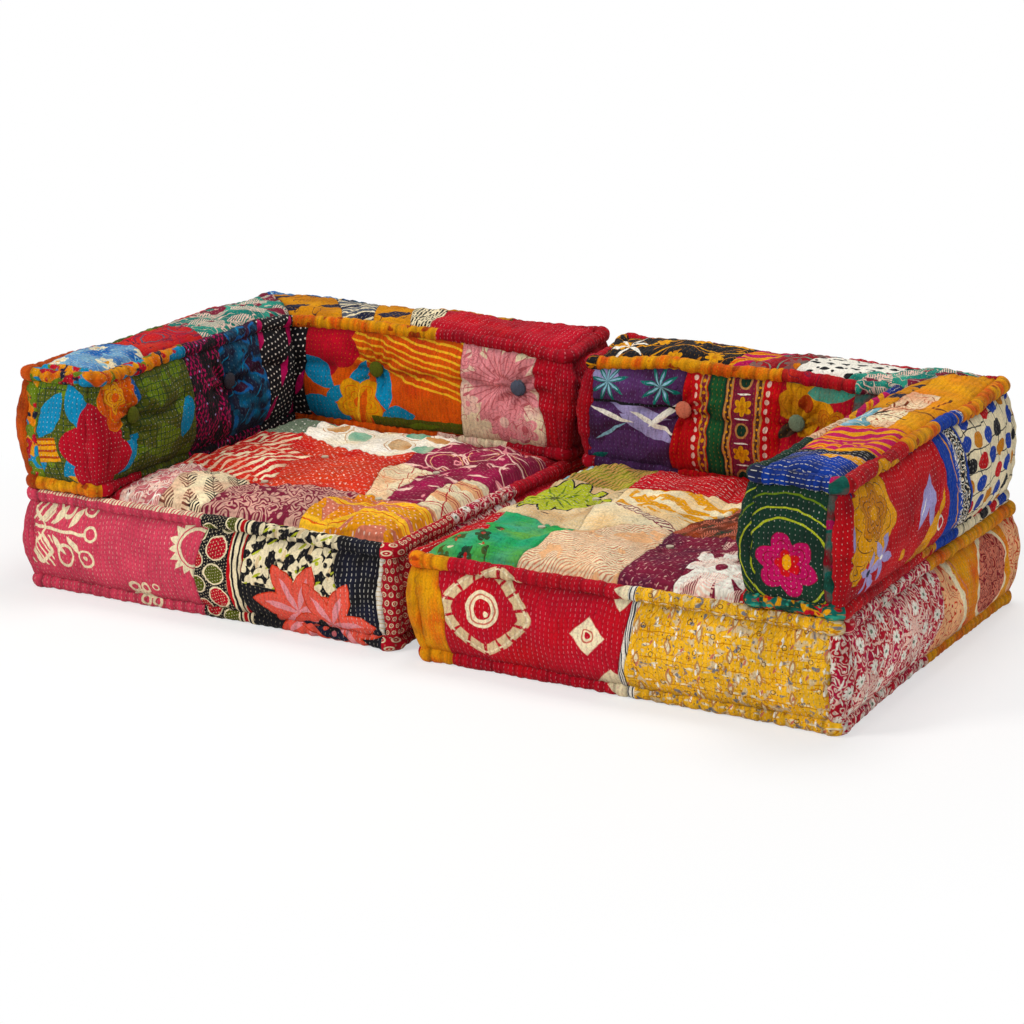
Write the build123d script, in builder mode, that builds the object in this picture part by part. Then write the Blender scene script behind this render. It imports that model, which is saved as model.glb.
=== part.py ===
from build123d import *
from math import asin, cos, pi, sin, sqrt
import os

# Modular patchwork sofa bed: two tufted seat mattresses side by side, each with a loose
# L-shaped backrest cushion standing on it. Lengths are in millimetres, +Z is up, -Y is the
# front, and the origin is on the floor under the middle of the whole set.

# The seats
seat_width = 885.0
seat_depth = 885.0
seat_height = 202.0
module_gap = 0.6
module_stagger = 18.0

# The L-shaped backrests
backrest_height = 242.0
arm_thickness = 226.0
back_thickness = 222.0
backrest_end_setback = 0.5
backrest_gap = 0.3

# The quilted cover and its hand-stitched edge rolls
cover_thickness = 5.0
roll_diameter = 28.0
roll_setback = 17.0
roll_corner_radius = 20.0
upright_bow = 13.0
upright_swell = 7.0
upright_station_shares = (0.0, 0.25, 0.5, 0.75, 1.0)
foot_flat = 0.5
fit_clearance = 0.3
draw_in_share = 0.007

# How far the padded bands stand out between the rolls
stitch_depth = 5.0
band_end_share = 0.4
tuft_bulge = 2.0
tuft_reach = 100.0
arc_share = 0.76
tuft_arc_share = 0.22
plain_steps = 10
tufted_steps = 6

# The seat's crown, between the backrest and the front edge roll
crown_height = 36.0
crown_step = 3.0
crown_clearance = 1.0
seat_column_shares = (-0.295, 0.0, 0.295)
seat_row_shares = (-0.24, 0.0, 0.30)
crown_reach = 110.0
crown_least_rise = 0.8
crown_line_share = 0.80
crown_dimple_share = 0.46
crown_arc_share = 0.14
crown_edge_share = 0.22
crown_steps = 5

# The padded top of the backrest
top_crown = 11.0
top_steps = 5
top_end_share = 0.4
top_dimple_share = 0.5
top_dimple_shares = {"arm": (0.30, 0.62), "back": (0.42, 0.74)}

# Tufting
cord_diameter = 3.0
cord_hole_diameter = 3.6
knot_diameter = 14.0
knot_thickness = 3.0
knot_pocket_diameter = 14.8
knot_pocket_depth = 3.4
crown_spotface = 1.0
button_diameter = 34.0
button_height = 10.0
button_rim = 2.5
button_plate_diameter = 28.0
button_plate_thickness = 2.0
button_pocket_diameter = 35.0
button_spotface = 0.5
button_height_share = 0.60
arm_button_shares = (0.32, 0.81)
left_back_button_shares = (0.29, 0.80)
right_back_button_shares = (0.26, 0.62)
cut_overrun = 60.0

# Worked out from the sizes above
half_width = seat_width / 2
half_depth = seat_depth / 2
longest_side = max(seat_width, seat_depth)
roll_radius = roll_diameter / 2
roll_inset = roll_setback + roll_radius
upright_inset = roll_inset + roll_corner_radius * (1 - sqrt(1 / 2))
band_bulge = roll_setback + stitch_depth
band_back_inset = band_bulge + cover_thickness
band_end_bulge = band_bulge * band_end_share
corner_reach = upright_inset + roll_radius + fit_clearance
roll_zone = roll_diameter + fit_clearance
panel_inset = roll_setback + roll_diameter + fit_clearance
core_inset = panel_inset + draw_in_share * longest_side
backrest_base = seat_height + backrest_gap
backrest_top = backrest_base + backrest_height
arm_inner_x = -half_width + arm_thickness
back_inner_y = half_depth - back_thickness
backrest_end_x = half_width - backrest_end_setback
button_z = backrest_base + backrest_height * button_height_share
button_seat = cover_thickness - button_spotface
up = Vector(0, 0, 1)


def seat_outline(inset):
    """The four corners of a seat, drawn in by inset, anticlockwise from the front left."""
    x = half_width - inset
    y = half_depth - inset
    return [(-x, -y), (x, -y), (x, y), (-x, y)]


def backrest_outline(inset):
    """The six corners of the L, drawn in by inset, anticlockwise from the arm's front left."""
    return [
        (-half_width + inset, -half_depth + inset),
        (arm_inner_x - inset, -half_depth + inset),
        (arm_inner_x - inset, back_inner_y + inset),
        (backrest_end_x - inset, back_inner_y + inset),
        (backrest_end_x - inset, half_depth - inset),
        (-half_width + inset, half_depth - inset),
    ]


def runs(corners):
    """Each side of a closed outline as its start, its end and the direction out of the cushion."""
    sides = []
    for start, end in zip(corners, corners[1:] + corners[:1]):
        a, b = Vector(*start), Vector(*end)
        sides.append((a, b, (b - a).normalized().cross(up)))
    return sides


def prism(corners, low, high):
    """A straight-sided block over an outline."""
    with BuildPart() as block:
        with BuildSketch(Plane.XY.offset(low)):
            with BuildLine():
                Polyline(*corners, close=True)
            make_face()
        extrude(amount=high - low)
    return block.part


def drawn_sides(outline, inset):
    """The sides of an outline, as arcs that pull in between its corners as far as the sides of
    the cushion itself do. It is called inside a BuildLine."""
    for (a, b, out), (full_a, full_b, same) in zip(runs(outline(inset)), runs(outline(0.0))):
        sag = out * (-draw_in_share * (full_b - full_a).length)
        ThreePointArc(a, (a + b) / 2 + sag, b)


def drawn_panel(outline, inset, low, high):
    """A flat quilted panel whose sides pull in between its corners."""
    with BuildPart() as panel:
        with BuildSketch(Plane.XY.offset(low)):
            with BuildLine():
                drawn_sides(outline, inset)
            make_face()
        extrude(amount=high - low)
    return panel.part


def edge_roll(outline, z, flattened=False):
    """The stuffed roll stitched round an edge at height z, in one unbroken run. The lower rolls
    are flattened underneath where they bear on the floor or the seat."""
    with BuildSketch(Plane.XY.offset(z)) as route:
        with BuildLine():
            drawn_sides(outline, roll_inset)
        make_face()
        fillet(route.vertices(), roll_corner_radius)
    path = route.sketch.face().outer_wire()
    with BuildPart() as roll:
        with BuildSketch(Plane(origin=path @ 0, x_dir=up, z_dir=path % 0)):
            Circle(roll_radius)
            if flattened:
                with Locations((foot_flat - roll_diameter, 0)):
                    Rectangle(roll_diameter, roll_diameter, mode=Mode.SUBTRACT)
        sweep(path=path)
    return roll.part


def upright_rolls(outline, low, high, inner_corners=()):
    """The rolls that stand on the outer corners, as separate solids. Each swells and leans out
    at the middle of its height."""
    corners = outline(upright_inset)
    inward = [(Vector(*c) - Vector(*o)).normalized() for c, o in zip(corners, outline(0.0))]
    with BuildPart() as rolls:
        for number, (corner, way) in enumerate(zip(corners, inward)):
            if number in inner_corners:
                continue
            for share in upright_station_shares:
                out = sin(share * pi)
                middle = Vector(*corner) - way * (upright_bow * out)
                with BuildSketch(Plane.XY.offset(low + (high - low) * share)):
                    with BuildLine():
                        for turn in range(0, 360, 90):
                            CenterArc(middle, roll_radius + upright_swell * out, turn, 90)
                    make_face()
            loft()
    return rolls.part


def stations(stops, steps):
    """Distances from the first stop to the last, closest together near every stop."""
    turns = [(1 - cos(pi * step / steps)) / 2 for step in range(steps)]
    spread = [a + (b - a) * turn for a, b in zip(stops, stops[1:]) for turn in turns]
    return spread + [stops[-1]]


def fullness(distance, length, reach):
    """How full a pad is at a distance along it: 0 at its ends, round a quarter circle to 1."""
    edge = min(distance / reach, (length - distance) / reach, 1)
    return sqrt(max(edge * (2 - edge), 0))


def dimple(distance, knots, reach):
    """How far a tuft draws a pad in at a distance along it: 1 at a knot, 0 beyond its reach."""
    nearest = min([abs(distance - knot) / reach for knot in knots] + [1])
    return cos(nearest * pi / 2) ** 2


def side_band(a, b, out, low, high, knots=()):
    """A padded band between two rolls. a and b are the ends of its flat back, out is the way it
    faces, and knots are the distances from a at which a button draws it in."""
    length = (b - a).length
    along = (b - a).normalized()
    middle_z = button_z if knots else (low + high) / 2
    upper, lower = (high + middle_z) / 2, (low + middle_z) / 2
    with BuildPart() as band:
        for distance in stations([0.0, *knots, length], tufted_steps if knots else plain_steps):
            full = band_end_bulge + (band_bulge - band_end_bulge) * fullness(distance, length, tuft_reach)
            pull = dimple(distance, knots, tuft_reach)
            crest = cover_thickness + full - (full - tuft_bulge) * pull
            shoulder = cover_thickness + full * (arc_share - tuft_arc_share * pull)
            with BuildSketch(Plane(origin=a + along * distance, x_dir=out, z_dir=out.cross(up))):
                with BuildLine():
                    Polyline((cover_thickness, low), (0, low), (0, high), (cover_thickness, high))
                    ThreePointArc((cover_thickness, high), (shoulder, upper), (crest, middle_z))
                    ThreePointArc((crest, middle_z), (shoulder, lower), (cover_thickness, low))
                make_face()
        loft(ruled=True)
    return band.part


def discs(planes, diameter, thickness):
    """Round pieces of one size standing on each plane, as separate solids."""
    with BuildPart() as group:
        for plane in planes:
            with BuildSketch(plane):
                Circle(diameter / 2)
            extrude(amount=thickness)
    return group.part


def drilled(solid, planes, diameter, depth, lead=0.0):
    """The solid with a round hole cut from each plane, depth inwards and lead outwards."""
    with BuildPart() as result:
        add(solid)
        for plane in planes:
            with BuildSketch(plane.offset(lead)):
                Circle(diameter / 2)
            extrude(amount=-(depth + lead), mode=Mode.SUBTRACT)
    return result.part


def cords_between(starts, ends):
    """The tufting cords, one straight solid from each start plane to its end plane."""
    with BuildPart() as cords:
        for start, end in zip(starts, ends):
            with BuildSketch(Plane(origin=start.origin, z_dir=end.z_dir)):
                Circle(cord_diameter / 2)
            extrude(amount=(end.origin - start.origin).length)
    return cords.part


def crown_bounds():
    """The visible part of the seat's top, as its low and high x and its low and high y."""
    return (
        arm_inner_x - roll_setback + crown_clearance,
        half_width - core_inset - crown_clearance,
        -half_depth + core_inset + crown_clearance,
        back_inner_y + roll_setback - crown_clearance,
    )


def crown_row(y):
    """The crown at one row: the height of its tufted lines, and how far its arcs rise between
    two of them and between the last one and the edge."""
    low_x, high_x, low_y, high_y = crown_bounds()
    full = crown_height * fullness(y - low_y, high_y - low_y, crown_reach)
    pull = dimple(y, [seat_depth * share for share in seat_row_shares], tuft_reach)
    line = full * (crown_line_share - crown_dimple_share * pull)
    between = full * (crown_arc_share + crown_dimple_share * pull / 2)
    return seat_height + crown_step + line, between, between + full * crown_edge_share


def seat_tufts():
    """Where the cords pass through a seat, as x, y and the height that the knot stands at."""
    low_x, high_x, low_y, high_y = crown_bounds()
    tufts = []
    for x in (seat_width * share for share in seat_column_shares):
        for y in (seat_depth * share for share in seat_row_shares):
            crowned = low_x < x < high_x and low_y < y < high_y
            z = crown_row(y)[0] - crown_spotface if crowned else seat_height - knot_pocket_depth
            tufts.append((x, y, z))
    return tufts


def seat_knot_planes():
    """The planes that the seat's knots stand on, above its top and below its underside."""
    upper = [Plane(origin=(x, y, z), z_dir=(0, 0, 1)) for x, y, z in seat_tufts()]
    lower = [Plane(origin=(x, y, knot_pocket_depth), z_dir=(0, 0, -1)) for x, y, z in seat_tufts()]
    return upper, lower


def seat_top_panel():
    """The quilted top: flat where the backrest stands on it, crowned and tufted where one sits."""
    low_x, high_x, low_y, high_y = crown_bounds()
    columns = [x for x in (seat_width * share for share in seat_column_shares) if low_x < x < high_x]
    rows = [y for y in (seat_depth * share for share in seat_row_shares) if low_y < y < high_y]
    base, rim = seat_height - cover_thickness, seat_height + crown_step
    with BuildPart() as panel:
        for y in stations([low_y, *rows, high_y], crown_steps):
            line_z, between, beside = crown_row(y)
            points = [(low_x, rim)] + [(x, line_z) for x in columns] + [(high_x, rim)]
            rises = [beside] + [between] * (len(columns) - 1) + [beside]
            with BuildSketch(Plane(origin=(0, y, 0), x_dir=(1, 0, 0), z_dir=(0, -1, 0))):
                with BuildLine():
                    Polyline((low_x, rim), (low_x, base), (high_x, base), (high_x, rim))
                    for (x0, z0), (x1, z1), rise in zip(points, points[1:], rises):
                        crest = ((x0 + x1) / 2, (z0 + z1) / 2 + max(rise, crown_least_rise))
                        ThreePointArc((x0, z0), crest, (x1, z1))
                make_face()
        loft(ruled=True)
        add(drawn_panel(seat_outline, panel_inset, base, seat_height))
    upper, lower = seat_knot_planes()
    pocketed = drilled(panel.part, upper, knot_pocket_diameter, 0.0, cut_overrun)
    return drilled(pocketed, upper, cord_hole_diameter, cut_overrun)


def seat_bottom_panel():
    """The flat underside, with a pocket for each knot."""
    upper, lower = seat_knot_planes()
    panel = drawn_panel(seat_outline, panel_inset, 0.0, cover_thickness)
    pocketed = drilled(panel, lower, knot_pocket_diameter, 0.0, cut_overrun)
    return drilled(pocketed, lower, cord_hole_diameter, cover_thickness)


def filling(outline, base, height, planes, inner_corners=()):
    """The cotton filling, stepped in at its top and bottom edges to make room for the rolls,
    notched at the corners that carry an upright roll and pierced for the tufting cords."""
    low, high = base + cover_thickness, base + height - cover_thickness
    with BuildPart() as core:
        add(prism(outline(core_inset), low, high))
        add(prism(outline(band_back_inset), base + roll_zone, base + height - roll_zone))
        for number, (x, y) in enumerate(outline(0)):
            if number not in inner_corners:
                with Locations((x, y, base + height / 2)):
                    Box(corner_reach * 2, corner_reach * 2, height, mode=Mode.SUBTRACT)
    return drilled(core.part, planes, cord_hole_diameter, longest_side, cut_overrun)


def edge_rolls(outline, base, height, inner_corners=()):
    """The rolls of one cushion, by name: top, bottom and the uprights between them."""
    upright_low = base + roll_diameter - foot_flat + fit_clearance
    upright_high = base + height - roll_diameter - fit_clearance
    return {
        "top_roll": edge_roll(outline, base + height - roll_radius),
        "bottom_roll": edge_roll(outline, base + roll_radius - foot_flat, flattened=True),
        "corner_rolls": upright_rolls(outline, upright_low, upright_high, inner_corners),
    }


def build_seat():
    """Every piece of one seat, in its own module's place, with the arm on the left."""
    upper, lower = seat_knot_planes()
    pieces = {
        "seat_core": filling(seat_outline, 0.0, seat_height, upper),
        "seat_top_panel": seat_top_panel(),
        "seat_bottom_panel": seat_bottom_panel(),
        "seat_tuft_knots": discs(upper + lower, knot_diameter, knot_thickness),
        "seat_tuft_cords": cords_between(lower, upper),
    }
    for name, roll in edge_rolls(seat_outline, 0.0, seat_height).items():
        pieces["seat_" + name] = roll
    trim = corner_reach - band_back_inset
    names = ("front", "inner", "back", "outer")
    for name, (a, b, out) in zip(names, runs(seat_outline(band_back_inset))):
        inset = (b - a).normalized() * trim
        ends = (a + inset, b - inset, out)
        pieces["seat_" + name + "_band"] = side_band(*ends, roll_zone, seat_height - roll_zone)
    return pieces


def backrest_bands(back_button_shares):
    """The six padded bands of the L by name, each as the ends of its flat back, the way it faces
    and the distances of its buttons from its first end."""
    trim = corner_reach - band_back_inset
    butt = band_bulge + cover_thickness
    names = ("arm_end", "arm_inner", "back_inner", "back_end", "back_outer", "arm_outer")
    starts = (trim, trim, 0.0, trim, trim, trim)
    ends = (trim, butt, trim, trim, trim, trim)
    arm_run = back_inner_y + half_depth
    back_run = backrest_end_x - arm_inner_x
    knots = {
        "arm_inner": sorted(arm_run * (1 - share) - corner_reach for share in arm_button_shares),
        "back_inner": [back_run * share + band_back_inset for share in back_button_shares],
    }
    sides = runs(backrest_outline(band_back_inset))
    bands = {}
    for name, (a, b, out), start, end in zip(names, sides, starts, ends):
        along = (b - a).normalized()
        bands[name] = (a + along * start, b - along * end, out, knots.get(name, ()))
    return bands


def tuft_planes(bands):
    """For each pair of opposite bands, the planes that the buttons stand on and the planes that
    the knots at the cords' other ends stand on."""
    planes = {}
    for inner, outer in (("arm_inner", "arm_outer"), ("back_inner", "back_outer")):
        a, b, out, distances = bands[inner]
        far, far_end, far_out, none = bands[outer]
        fronts, knots = [], []
        for distance in distances:
            back = a + (b - a).normalized() * distance + up * button_z
            through = (far - a).dot(far_out) + cover_thickness
            fronts.append(Plane(origin=back + out * button_seat, z_dir=out))
            knots.append(Plane(origin=back + far_out * through, z_dir=far_out))
        planes[inner], planes[outer] = fronts, knots
    return planes


def buttons(fronts):
    """Fabric-covered buttons with a spherical dome, one solid each, standing on the plates."""
    radius, rise = button_diameter / 2, button_height - button_rim
    dome = (radius * radius + rise * rise) / (2 * rise)
    half_turn = asin(radius / dome) / 2
    shoulder = (dome * sin(half_turn), button_height - dome * (1 - cos(half_turn)))
    with BuildPart() as caps:
        for front in fronts:
            foot = front.offset(button_plate_thickness)
            with BuildSketch(Plane(origin=foot.origin, x_dir=up, z_dir=up.cross(foot.z_dir))):
                with BuildLine():
                    Polyline((0, button_height), (0, 0), (radius, 0), (radius, button_rim))
                    ThreePointArc((radius, button_rim), shoulder, (0, button_height))
                make_face()
            revolve(axis=Axis(foot.origin, foot.z_dir))
    return caps.part


def mitred_halves():
    """The arm's and the back's share of the L's flat faces, parted on the mitre."""
    p = backrest_outline(core_inset)
    return {"arm": [p[0], p[1], p[2], p[5]], "back": [p[2], p[3], p[4], p[5]]}


def backrest_top_panel(part):
    """A padded top panel of the L, crowned across its width and dimpled along its length."""
    p = backrest_outline(core_inset)
    base = backrest_top - cover_thickness
    if part == "arm":
        low, high, start, end = p[0][0], p[1][0], p[0][1], p[5][1]
        across, along = Vector(1, 0, 0), Vector(0, 1, 0)
    else:
        low, high, start, end = p[2][1], p[4][1], p[5][0], p[3][0]
        across, along = Vector(0, 1, 0), Vector(1, 0, 0)
    length = end - start
    knots = [length * share for share in top_dimple_shares[part]]
    with BuildPart() as panel:
        for distance in stations([0.0, *knots, length], top_steps):
            pull = dimple(distance, knots, tuft_reach)
            full = max(fullness(distance, length, tuft_reach), top_end_share)
            crest = backrest_top + top_crown * full * (1 - top_dimple_share * pull)
            origin = along * (start + distance)
            with BuildSketch(Plane(origin=origin, x_dir=across, z_dir=across.cross(up))):
                with BuildLine():
                    Polyline((low, backrest_top), (low, base), (high, base), (high, backrest_top))
                    ThreePointArc((high, backrest_top), ((low + high) / 2, crest), (low, backrest_top))
                make_face()
        loft(ruled=True)
        add(prism(mitred_halves()[part], base, backrest_top + cut_overrun), mode=Mode.INTERSECT)
    return panel.part


def build_backrest(back_button_shares):
    """Every piece of one L-shaped backrest, in its module's place, with the arm on the left."""
    bands = backrest_bands(back_button_shares)
    planes = tuft_planes(bands)
    fronts = planes["arm_inner"] + planes["back_inner"]
    knots = planes["arm_outer"] + planes["back_outer"]
    inner_corners = (2,)
    pieces = {
        "backrest_core": filling(backrest_outline, backrest_base, backrest_height, fronts, inner_corners),
        "backrest_buttons": buttons(fronts),
        "backrest_button_plates": discs(fronts, button_plate_diameter, button_plate_thickness),
        "backrest_tuft_knots": discs(knots, knot_diameter, knot_thickness),
        "backrest_tuft_cords": cords_between(knots, fronts),
    }
    rolls = edge_rolls(backrest_outline, backrest_base, backrest_height, inner_corners)
    for name, roll in rolls.items():
        pieces["backrest_" + name] = roll
    for part, corners in mitred_halves().items():
        pieces[part + "_top_panel"] = backrest_top_panel(part)
        pieces[part + "_bottom_panel"] = prism(corners, backrest_base, backrest_base + cover_thickness)
    low, high = backrest_base + roll_zone, backrest_top - roll_zone
    for name, (a, b, out, distances) in bands.items():
        band = side_band(a, b, out, low, high, distances)
        pocket = button_pocket_diameter if distances else knot_pocket_diameter
        if name in planes:
            band = drilled(band, planes[name], pocket, 0.0, cut_overrun)
            band = drilled(band, planes[name], cord_hole_diameter, cut_overrun)
        pieces[name + "_band"] = band
    return pieces


def place(pieces, side):
    """Moves a module's pieces to their side of the set, mirrored for the right one, and writes
    each as its own file."""
    direction = -1 if side == "left" else 1
    shift_x = direction * (seat_width + module_gap) / 2
    shift_y = -direction * module_stagger / 2
    for name, piece in pieces.items():
        solid = piece if side == "left" else mirror(piece, about=Plane.YZ)
        moved = Pos(shift_x, shift_y, 0) * solid
        moved.label = side + "_" + name
        export_step(moved, os.path.join("parts", moved.label + ".step"))


os.makedirs("parts", exist_ok=True)
seat = build_seat()
for side, shares in (("left", left_back_button_shares), ("right", right_back_button_shares)):
    place(seat, side)
    place(build_backrest(shares), side)
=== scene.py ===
import math
import zlib
import bpy
import numpy as np
from mathutils import Matrix, Vector


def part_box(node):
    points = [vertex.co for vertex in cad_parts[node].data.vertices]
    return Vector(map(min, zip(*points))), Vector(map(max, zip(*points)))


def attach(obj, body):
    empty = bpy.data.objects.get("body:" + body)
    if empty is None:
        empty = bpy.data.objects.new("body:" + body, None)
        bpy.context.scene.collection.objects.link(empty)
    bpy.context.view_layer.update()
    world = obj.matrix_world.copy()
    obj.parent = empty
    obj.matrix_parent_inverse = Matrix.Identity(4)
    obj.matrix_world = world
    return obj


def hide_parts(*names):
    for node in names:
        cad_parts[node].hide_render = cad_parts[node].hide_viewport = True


# A modular sofa bed of patchwork floor cushions: two tufted seats, each with an L-shaped backrest.
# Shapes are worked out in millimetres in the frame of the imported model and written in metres.
# A place on a face is given as u to the right and v upwards, as the face is seen from outside.

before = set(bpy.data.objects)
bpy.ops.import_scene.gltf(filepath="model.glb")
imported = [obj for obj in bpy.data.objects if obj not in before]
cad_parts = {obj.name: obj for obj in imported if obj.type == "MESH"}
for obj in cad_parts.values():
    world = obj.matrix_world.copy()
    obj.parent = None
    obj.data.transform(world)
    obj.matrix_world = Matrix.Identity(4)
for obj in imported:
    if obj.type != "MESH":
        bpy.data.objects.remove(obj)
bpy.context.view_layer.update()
METRE = 0.001

# The view
VIEW_AZIMUTH = 29.4
VIEW_ELEVATION = 16.1
VIEW_ROLL = -0.3
VIEW_DISTANCE = 5.19
VIEW_TARGET = (0.014, 0.008, 0.165)
VIEW_LENS = 94.4
SENSOR_WIDTH = 36.0
VIEW_SHIFT = -0.011

# Places that the construction fixes, read from the frame
SIDES = ("left", "right")
KNOT_SPREAD = 20.0
BUTTON_SPREAD = 60.0
BUTTON_FACE_REACH = 40.0


def node_box(node):
    """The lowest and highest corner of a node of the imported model, in millimetres."""
    low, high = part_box(node)
    return np.array(low) / METRE, np.array(high) / METRE


def solid_centres(node, reach):
    """The middle of each separate solid of a node, where no solid is larger than reach."""
    points = np.array([v.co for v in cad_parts[node].data.vertices]) / METRE
    centres = []
    while len(points):
        near = np.linalg.norm(points - points[0], axis=1) < reach
        centres.append((points[near].min(0) + points[near].max(0)) / 2)
        points = points[~near]
    return centres


def seed_of(name):
    return zlib.crc32(name.encode()) % (2 ** 31)


def ripples(points, length, name, count=26):
    """Soft waves with no order, from about -1 to 1: the sum of count sines with random directions,
    lengths round about length, and random phases. name fixes the draw."""
    draw = np.random.RandomState(seed_of(name))
    ways = draw.normal(size=(points.shape[-1], count))
    ways *= 2 * math.pi / length * draw.uniform(0.6, 1.4, count) / np.linalg.norm(ways, axis=0)
    return np.sin(points @ ways + draw.uniform(0, 2 * math.pi, count)).sum(-1) / math.sqrt(count)


def smooth(share):
    """An even step: 0 below 0, 1 above 1, and level at both ends."""
    share = np.clip(share, 0, 1)
    return share * share * (3 - 2 * share)


def rounded_rise(distance, length, reach):
    """How full a pad is at a distance along it: 0 at its ends, round a quarter circle to 1."""
    edge = np.clip(np.minimum(distance, length - distance) / reach, 0, 1)
    return np.sqrt(edge * (2 - edge))


# Each module's outline, from the bands' boxes
MODULE = {}
for side in SIDES:
    outer, inner = node_box(side + "_seat_outer_band"), node_box(side + "_seat_inner_band")
    front, back = node_box(side + "_seat_front_band"), node_box(side + "_seat_back_band")
    arm, rest = node_box(side + "_arm_inner_band"), node_box(side + "_back_inner_band")
    roll = node_box(side + "_seat_top_roll")
    legs = node_box(side + "_backrest_top_roll")
    foot = node_box(side + "_backrest_bottom_roll")
    turn = 1 if side == "left" else -1
    MODULE[side] = {
        "turn": turn,
        "x0": min(outer[0][0], inner[0][0]), "x1": max(outer[1][0], inner[1][0]),
        "y0": front[0][1], "y1": back[1][1],
        "arm_x": arm[1][0] if side == "left" else arm[0][0],
        "back_y": rest[0][1],
        "setback": roll[0][1] - front[0][1],
        "roll": (roll[1][2] - roll[0][2]) / 2,
        "seat_top": roll[1][2],
        "base": foot[0][2],
        "top": legs[1][2],
        "buttons": solid_centres(side + "_backrest_buttons", BUTTON_SPREAD),
        "tufts": [p for p in solid_centres(side + "_seat_tuft_knots", KNOT_SPREAD) if p[2] > 100],
        "crown": node_box(side + "_seat_top_panel")[1][2] - roll[1][2],
    }

# Which way a face looks: the way that u runs, the way that v runs and the way out
FACING = {
    "front": ((1, 0, 0), (0, 0, 1), (0, -1, 0)),
    "back": ((-1, 0, 0), (0, 0, 1), (0, 1, 0)),
    "left": ((0, -1, 0), (0, 0, 1), (-1, 0, 0)),
    "right": ((0, 1, 0), (0, 0, 1), (1, 0, 0)),
    "up": ((1, 0, 0), (0, 1, 0), (0, 0, 1)),
    "down": ((-1, 0, 0), (0, 1, 0), (0, 0, -1)),
}


class Face:
    """One face of a cushion: its left bottom corner and which way it looks."""

    def __init__(self, facing, corner):
        self.along, self.up, self.out = (np.array(way, float) for way in FACING[facing])
        self.corner = np.array(corner, float)

    def at(self, u, v, w):
        """The point at u and v that stands w out of the face."""
        return (self.corner + u[..., None] * self.along + v[..., None] * self.up
                + w[..., None] * self.out)

    def flat(self, point):
        """The u and v of a point."""
        return (point - self.corner) @ self.along, (point - self.corner) @ self.up


def module_faces(side):
    """The faces of a module by name, each with u from its left end as seen from outside."""
    m = MODULE[side]
    x0, x1, y0, y1, arm, back = m["x0"], m["x1"], m["y0"], m["y1"], m["arm_x"], m["back_y"]
    base = m["base"]
    faces = {
        "seat_front": Face("front", (x0, y0, 0)),
        "seat_back": Face("back", (x1, y1, 0)),
        "seat_top": Face("up", (x0, y0, m["seat_top"])),
        "seat_bottom": Face("down", (x1, y0, 0)),
        "back_outer": Face("back", (x1, y1, base)),
        "top": Face("up", (x0, y0, m["top"])),
        "underside": Face("down", (x1, y0, base)),
    }
    if side == "left":
        faces["seat_inner"] = Face("right", (x1, y0, 0))
        faces["seat_outer"] = Face("left", (x0, y1, 0))
        faces["arm_end"] = Face("front", (x0, y0, base))
        faces["arm_inner"] = Face("right", (arm, y0, base))
        faces["back_inner"] = Face("front", (arm, back, base))
        faces["back_end"] = Face("right", (x1, back, base))
        faces["arm_outer"] = Face("left", (x0, y1, base))
    else:
        faces["seat_inner"] = Face("left", (x0, y1, 0))
        faces["seat_outer"] = Face("right", (x1, y0, 0))
        faces["arm_end"] = Face("front", (arm, y0, base))
        faces["arm_inner"] = Face("left", (arm, back, base))
        faces["back_inner"] = Face("front", (x0, back, base))
        faces["back_end"] = Face("left", (x0, y1, base))
        faces["arm_outer"] = Face("right", (x1, y0, base))
    return faces


FACES = {side: module_faces(side) for side in SIDES}


# How the loose cushions slouch
SWAY = 3.5
SWAY_LENGTH = 420.0
END_DROP = 20.0
END_LEAN = 12.0
END_REACH = 260.0
REAR_TUCK = (14.0, 24.0)
REAR_REACH = 190.0
FOOT_TUCK = 24.0
FOOT_REACH = 110.0
MODULE_CLEARANCE = 0.3


def settle(points, side, cushion):
    """The slouch of one cushion. Its sides sway by soft waves that are the same for all its pieces.
    The backrest's free end drops and leans back at its top front edge, its outer rear corner is
    drawn in, and the right seat's inner front corner is tucked in at the floor."""
    m = MODULE[side]
    p = np.array(points, float)
    x, y, z = p[..., 0], p[..., 1], p[..., 2]
    body = side + cushion
    shift = np.zeros_like(p)
    base, top = (0, m["seat_top"]) if cushion == "seat" else (m["base"], m["top"])
    rise = np.clip((z - base) / (top - base), 0, 1)
    for axis in (0, 1):
        shift[..., axis] = SWAY * 0.5 * ripples(p[..., :2], SWAY_LENGTH, body + str(axis))
    if cushion == "backrest":
        depth = np.clip((y - m["back_y"]) / (m["y1"] - m["back_y"]), 0, 1)
        along = (m["x1"] - x) if side == "left" else (x - m["x0"])
        end = smooth(1 - along / END_REACH) * (y > m["back_y"] - 60)
        shift[..., 2] -= END_DROP * rise ** 2 * (1 - depth) * end
        shift[..., 1] += END_LEAN * rise ** 2 * (1 - depth) * end
        corner_x = m["x0"] if side == "left" else m["x1"]
        away = np.hypot(x - corner_x, y - m["y1"])
        draw_in = np.exp(-(away / REAR_REACH) ** 2) * (0.5 + 0.5 * rise)
        shift[..., 0] += m["turn"] * REAR_TUCK[0] * draw_in
        shift[..., 1] -= REAR_TUCK[1] * draw_in
        shift[..., 2] += 3.0 * rise * ripples(p[..., :2], 300, body + "z")
    elif side == "right":
        away = np.hypot(x - m["x0"], y - m["y0"])
        shift[..., 0] += FOOT_TUCK * np.exp(-(away / FOOT_REACH) ** 2) * (1 - rise)
    p += shift
    if side == "left":
        p[..., 0] = np.minimum(p[..., 0], -MODULE_CLEARANCE)
    else:
        p[..., 0] = np.maximum(p[..., 0], MODULE_CLEARANCE)
    return p


# Meshes


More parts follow.
